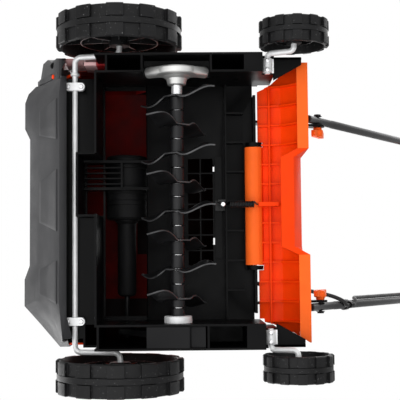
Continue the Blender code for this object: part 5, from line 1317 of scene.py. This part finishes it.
def shapeLever(bm):
    # narrow eye round the rod instead of the full hub
    y, z = axleSet["crank"]
    for vert in bm.verts:
        out = vert.co - toFrame - Vector((vert.co.x, y, z))
        if out.length < leverSet["hub"] and out.z < 0.004:
            vert.co += out.normalized() * (leverSet["eye"] - out.length)
            vert.co.x += (leverSet["x"] - vert.co.x) * 0.45
        elif abs(out.z - leverSet["elbow"]) < 0.002 and out.y < -0.030:
            vert.co.y += leverSet["waist"]


def makeLeverCollar():
    y, z = axleSet["crank"]
    rod = axleSet["rod"] + 0.0001
    low, high = around(leverSet["x"], leverSet["collarHalf"])
    full = leverSet["collar"]
    ring = [(rod, low), (full - 0.0005, low), (full, low + 0.0005), (full, high - 0.0005), (full - 0.0005, high)]
    bm = bmesh.new()
    lathe(bm, ring + [(rod, high)], "X", (0.0, y, z), 32)
    addPiece("leverCollar", bm, "zinc_steel", "front_axle")


shieldSet = {
    "x": (0.1829, 0.1891),
    "line": ((-0.1976, 0.1228), (-0.2016, 0.1300), (-0.2064, 0.1400), (-0.2128, 0.1500), (-0.2195, 0.1600),
             (-0.2248, 0.1695), (-0.2246, 0.1800)),
    "wall": Vector((0.0, 0.0011, 0.0007)),
    "webX": (0.1846, 0.1874),
    "web": ((-0.1880, 0.1520), (-0.1930, 0.1790), (-0.2238, 0.1780), (-0.2128, 0.1512)),
}


def makeShield():
    # shield on the lever that closes the slot under it, flush with the cover
    bm = bmesh.new()
    near, far = shieldSet["x"]
    outer = [Vector((near, y, z)) for y, z in shieldSet["line"]]
    inner = [place + shieldSet["wall"] for place in reversed(outer)]
    growFace(bm, outer + inner, (far - near, 0.0, 0.0))
    corners = [bm.verts.new((x, y, z)) for y, z in shieldSet["web"] for x in shieldSet["webX"]]
    bmesh.ops.convex_hull(bm, input=corners)
    addPiece("leverShield", bm, "grey_plastic", "front_axle")


coverSkinTree = []


def onCover(x, y):
    # point of the cover's outer skin above a point on the ground, with its normal
    if not coverSkinTree:
        under = cadCopy("front_cover")
        shapeCover(under)
        coverSkinTree.append(BVHTree.FromBMesh(under))
        under.free()
    hit, normal, _, _ = coverSkinTree[0].ray_cast(Vector((x, y, 0.0)) + toFrame, Vector((0.0, 0.0, 1.0)))
    return hit - toFrame, normal


def domeOn(bm, place, normal, radius, height, root=0.0010):
    profile = [
        (0.0, height), (radius * 0.45, height * 0.96), (radius * 0.8, height * 0.72), (radius, height * 0.25),
        (radius, -root), (0.0, -root),
    ]
    lathe(bm, profile, normal, place, 24)


def makeSill():
    # closed foot of the lever's slot with the lever's stop, and a plug beside it
    bm = bmesh.new()
    corners = []
    for z, y in zip(sillSet["z"], sillSet["outer"]):
        for x in sillSet["x"]:
            corners += [bm.verts.new((x, y, z)), bm.verts.new((x, y + sillSet["wall"], z + 0.0010))]
    bmesh.ops.convex_hull(bm, input=corners)
    softEdge(addPiece("slotSill", bm, "grey_plastic", "chassis"), 0.0004)
    bm = bmesh.new()
    for near in sillSet["lipX"]:  # lips that narrow the slot to the lever
        outer = [Vector((near, y, z)) for y, z in sillSet["lips"]]
        inner = [place + sillSet["lipWall"] for place in reversed(outer)]
        growFace(bm, outer + inner, (sillSet["lip"], 0.0, 0.0))
    addPiece("slotLips", bm, "grey_plastic", "chassis")
    x, y = sillSet["stop"]
    share = (y - sillSet["outer"][1]) / (sillSet["outer"][2] - sillSet["outer"][1])
    z = sillSet["z"][1] + share * (sillSet["z"][2] - sillSet["z"][1])
    bm = bmesh.new()
    domeOn(bm, (x, y, z), Vector((0.0, -0.86, -0.51)), sillSet["stopRadius"], 0.0022)
    addPiece("leverStop", bm, "orange_plastic", "chassis")
    bm = bmesh.new()
    hit, normal = onCover(*sillSet["plug"])
    axis = (normal + sillSet["plugTurn"]).normalized()
    domeOn(bm, hit, axis, sillSet["plugRadius"], 0.0012, sillSet["plugRoot"])
    addPiece("coverPlug", bm, "black_plastic", "chassis")


# hood's left flank in front of the deck: it closes the gap beside the wheel

flankSet = {
    "flank": (-0.1763, -0.1486, ((0.2130, 0.1175), (0.2092, 0.1210), (0.2060, 0.1260), (0.2042, 0.1340),
                                 (0.2040, 0.1700))),
    "skirt": (-0.1486, -0.1135, ((0.2054, 0.1074), (0.2016, 0.1074), (0.2016, 0.1350), (0.2016, 0.1590))),
    "flare": (-0.1486, -0.1160, ((0.2130, 0.1215), (0.2100, 0.1245), (0.2075, 0.1285), (0.2056, 0.1350))),
    "cheek": (-0.1860, -0.1763, ((0.2088, 0.1120), (0.2088, 0.1300), (0.2088, 0.1720))),
    "wall": 0.0012,
    "deep": -0.1330,
}


def makeFlank(name):
    start, end, line = flankSet[name]
    bm = bmesh.new()
    row = [bm.verts.new((x, start, z)) for x, z in line]
    edges = [bm.edges.new(pair) for pair in zip(row, row[1:])]
    for step in range(8):
        edges = drawOut(bm, edges, Vector((0.0, (end - start) / 8, 0.0)))
    bmesh.ops.solidify(bm, geom=bm.faces[:], thickness=flankSet["wall"])
    bmesh.ops.recalc_face_normals(bm, faces=bm.faces)
    for face in bm.faces:  # painted reflection inside, painted shade further back, and the hood's orange outside
        deep = 1 if face.calc_center_median().y > flankSet["deep"] else 0
        face.material_index = 2 if face.normal.x > 0.2 else deep
    inks = ["flank_painted_reflection", "flank_painted_half_shade", "orange_plastic"]
    piece = addPiece("hood" + name.capitalize(), bm, inks, "chassis", sharp=60.0)
    softEdge(piece, 0.0003, 50.0)


# flange of the deck behind the cover's lip, and the screw of the spring's bracket

flangeSet = {"x": (-0.186, 0.1792), "line": ((-0.1785, 0.1160), (-0.1785, 0.1125), (-0.1660, 0.1125)),
             "wall": 0.0016, "cuts": 24}
bracketSet = {"fromEnd": 0.0040, "screw": 0.0036, "height": 0.0024}


def makeFlange():
    low, high = flangeSet["x"]
    bm = bmesh.new()
    row = [bm.verts.new((low, y, z)) for y, z in flangeSet["line"]]
    edges = [bm.edges.new(pair) for pair in zip(row, row[1:])]
    for step in range(flangeSet["cuts"]):
        edges = drawOut(bm, edges, Vector(((high - low) / flangeSet["cuts"], 0.0, 0.0)))
    piece = addPiece("deckFlange", bm, "black_plastic", "chassis")
    wallOf(piece, flangeSet["wall"])
    softEdge(piece, 0.0004, 50.0)


def makeBracketScrew():
    low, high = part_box("spring_bracket")
    place = Vector(((low.x + high.x) / 2, high.y - bracketSet["fromEnd"], low.z)) - toFrame
    bm = bmesh.new()
    screwHead(bm, place, (0.0, 0.0, -1.0), bracketSet["screw"], bracketSet["height"])
    addPiece("bracketScrew", bm, "bright_steel", "chassis")


cheekSet = {
    "x": (0.2009, 0.2052),
    "side": ((0.1030, 0.0790), (0.1640, 0.0790), (0.1640, 0.1450), (0.1570, 0.1550), (0.1030, 0.1680)),
    "z": (0.0790, 0.0814),
    "foot": ((0.2050, 0.1232), (0.2050, 0.1638), (0.1940, 0.1638), (0.1715, 0.1232)),
}


def makeRearCheek(label, side):
    # side wall of the deck beside the flap, with a gusset turned in under the flap's end
    bm = bmesh.new()
    near, far = cheekSet["x"]
    growFace(bm, [(side * near, y, z) for y, z in cheekSet["side"]], (side * (far - near), 0.0, 0.0))
    low, high = cheekSet["z"]
    growFace(bm, [(side * x, y, low) for x, y in cheekSet["foot"]], (0.0, 0.0, high - low))
    softEdge(addPiece("rearCheek_" + label, bm, "black_plastic", "chassis"), 0.0008)


makeFlange()
makeBracketScrew()
for label, side in (("left", 1), ("right", -1)):
    makeRearCheek(label, side)
softenNode("hood", ["orange_plastic", "orange_painted_shade", "flank_painted_half_shade", "hood_painted_shadow"], hoodSide)
softenNode("flap", ["orange_plastic", "orange_pale_and_painted_lit"], flapSide)
softenNode("front_cover", shape=shapeCover)
softenNode("depth_lever", shape=shapeLever)
softenNode("belt_cover", "belt_grey")
# painted shade: the motor's shaft gets black steel because it lies in shade
softenNode("motor_shaft", "black_steel")
makeLeverCollar()
makeShield()
makeSill()
for name in ("flank", "skirt", "flare", "cheek"):
    makeFlank(name)
for node in nodes:
    if node not in made:
        softenNode(node)
print("CAD shapes softened")


# three raised pads on the front cover's lower slope

padSet = {
    "front": -0.2157,
    "rear": -0.1845,
    "height": 0.0017,
    "pads": ((0.120, 0.0175, 0.029), (0.004, 0.030, 0.044), (-0.112, 0.0175, 0.030)),
}


def makePads():
    bm = bmesh.new()
    for middle, front, rear in padSet["pads"]:
        sheet = bmesh.ops.create_grid(bm, x_segments=14, y_segments=10, size=0.5)["verts"]
        for vert in sheet:
            share = vert.co.y + 0.5
            half = rear + (front - rear) * share
            y = padSet["rear"] + (padSet["front"] - padSet["rear"]) * share
            hit, normal = onCover(middle + vert.co.x * 2 * half, y)
            vert.co = hit + normal * (padSet["height"] / 2 - 0.0003)
    piece = addPiece("coverPads", bm, "grey_plastic", "chassis")
    wallOf(piece, padSet["height"])
    softEdge(piece, 0.0004, 40.0)


makePads()
print("cover pads raised")
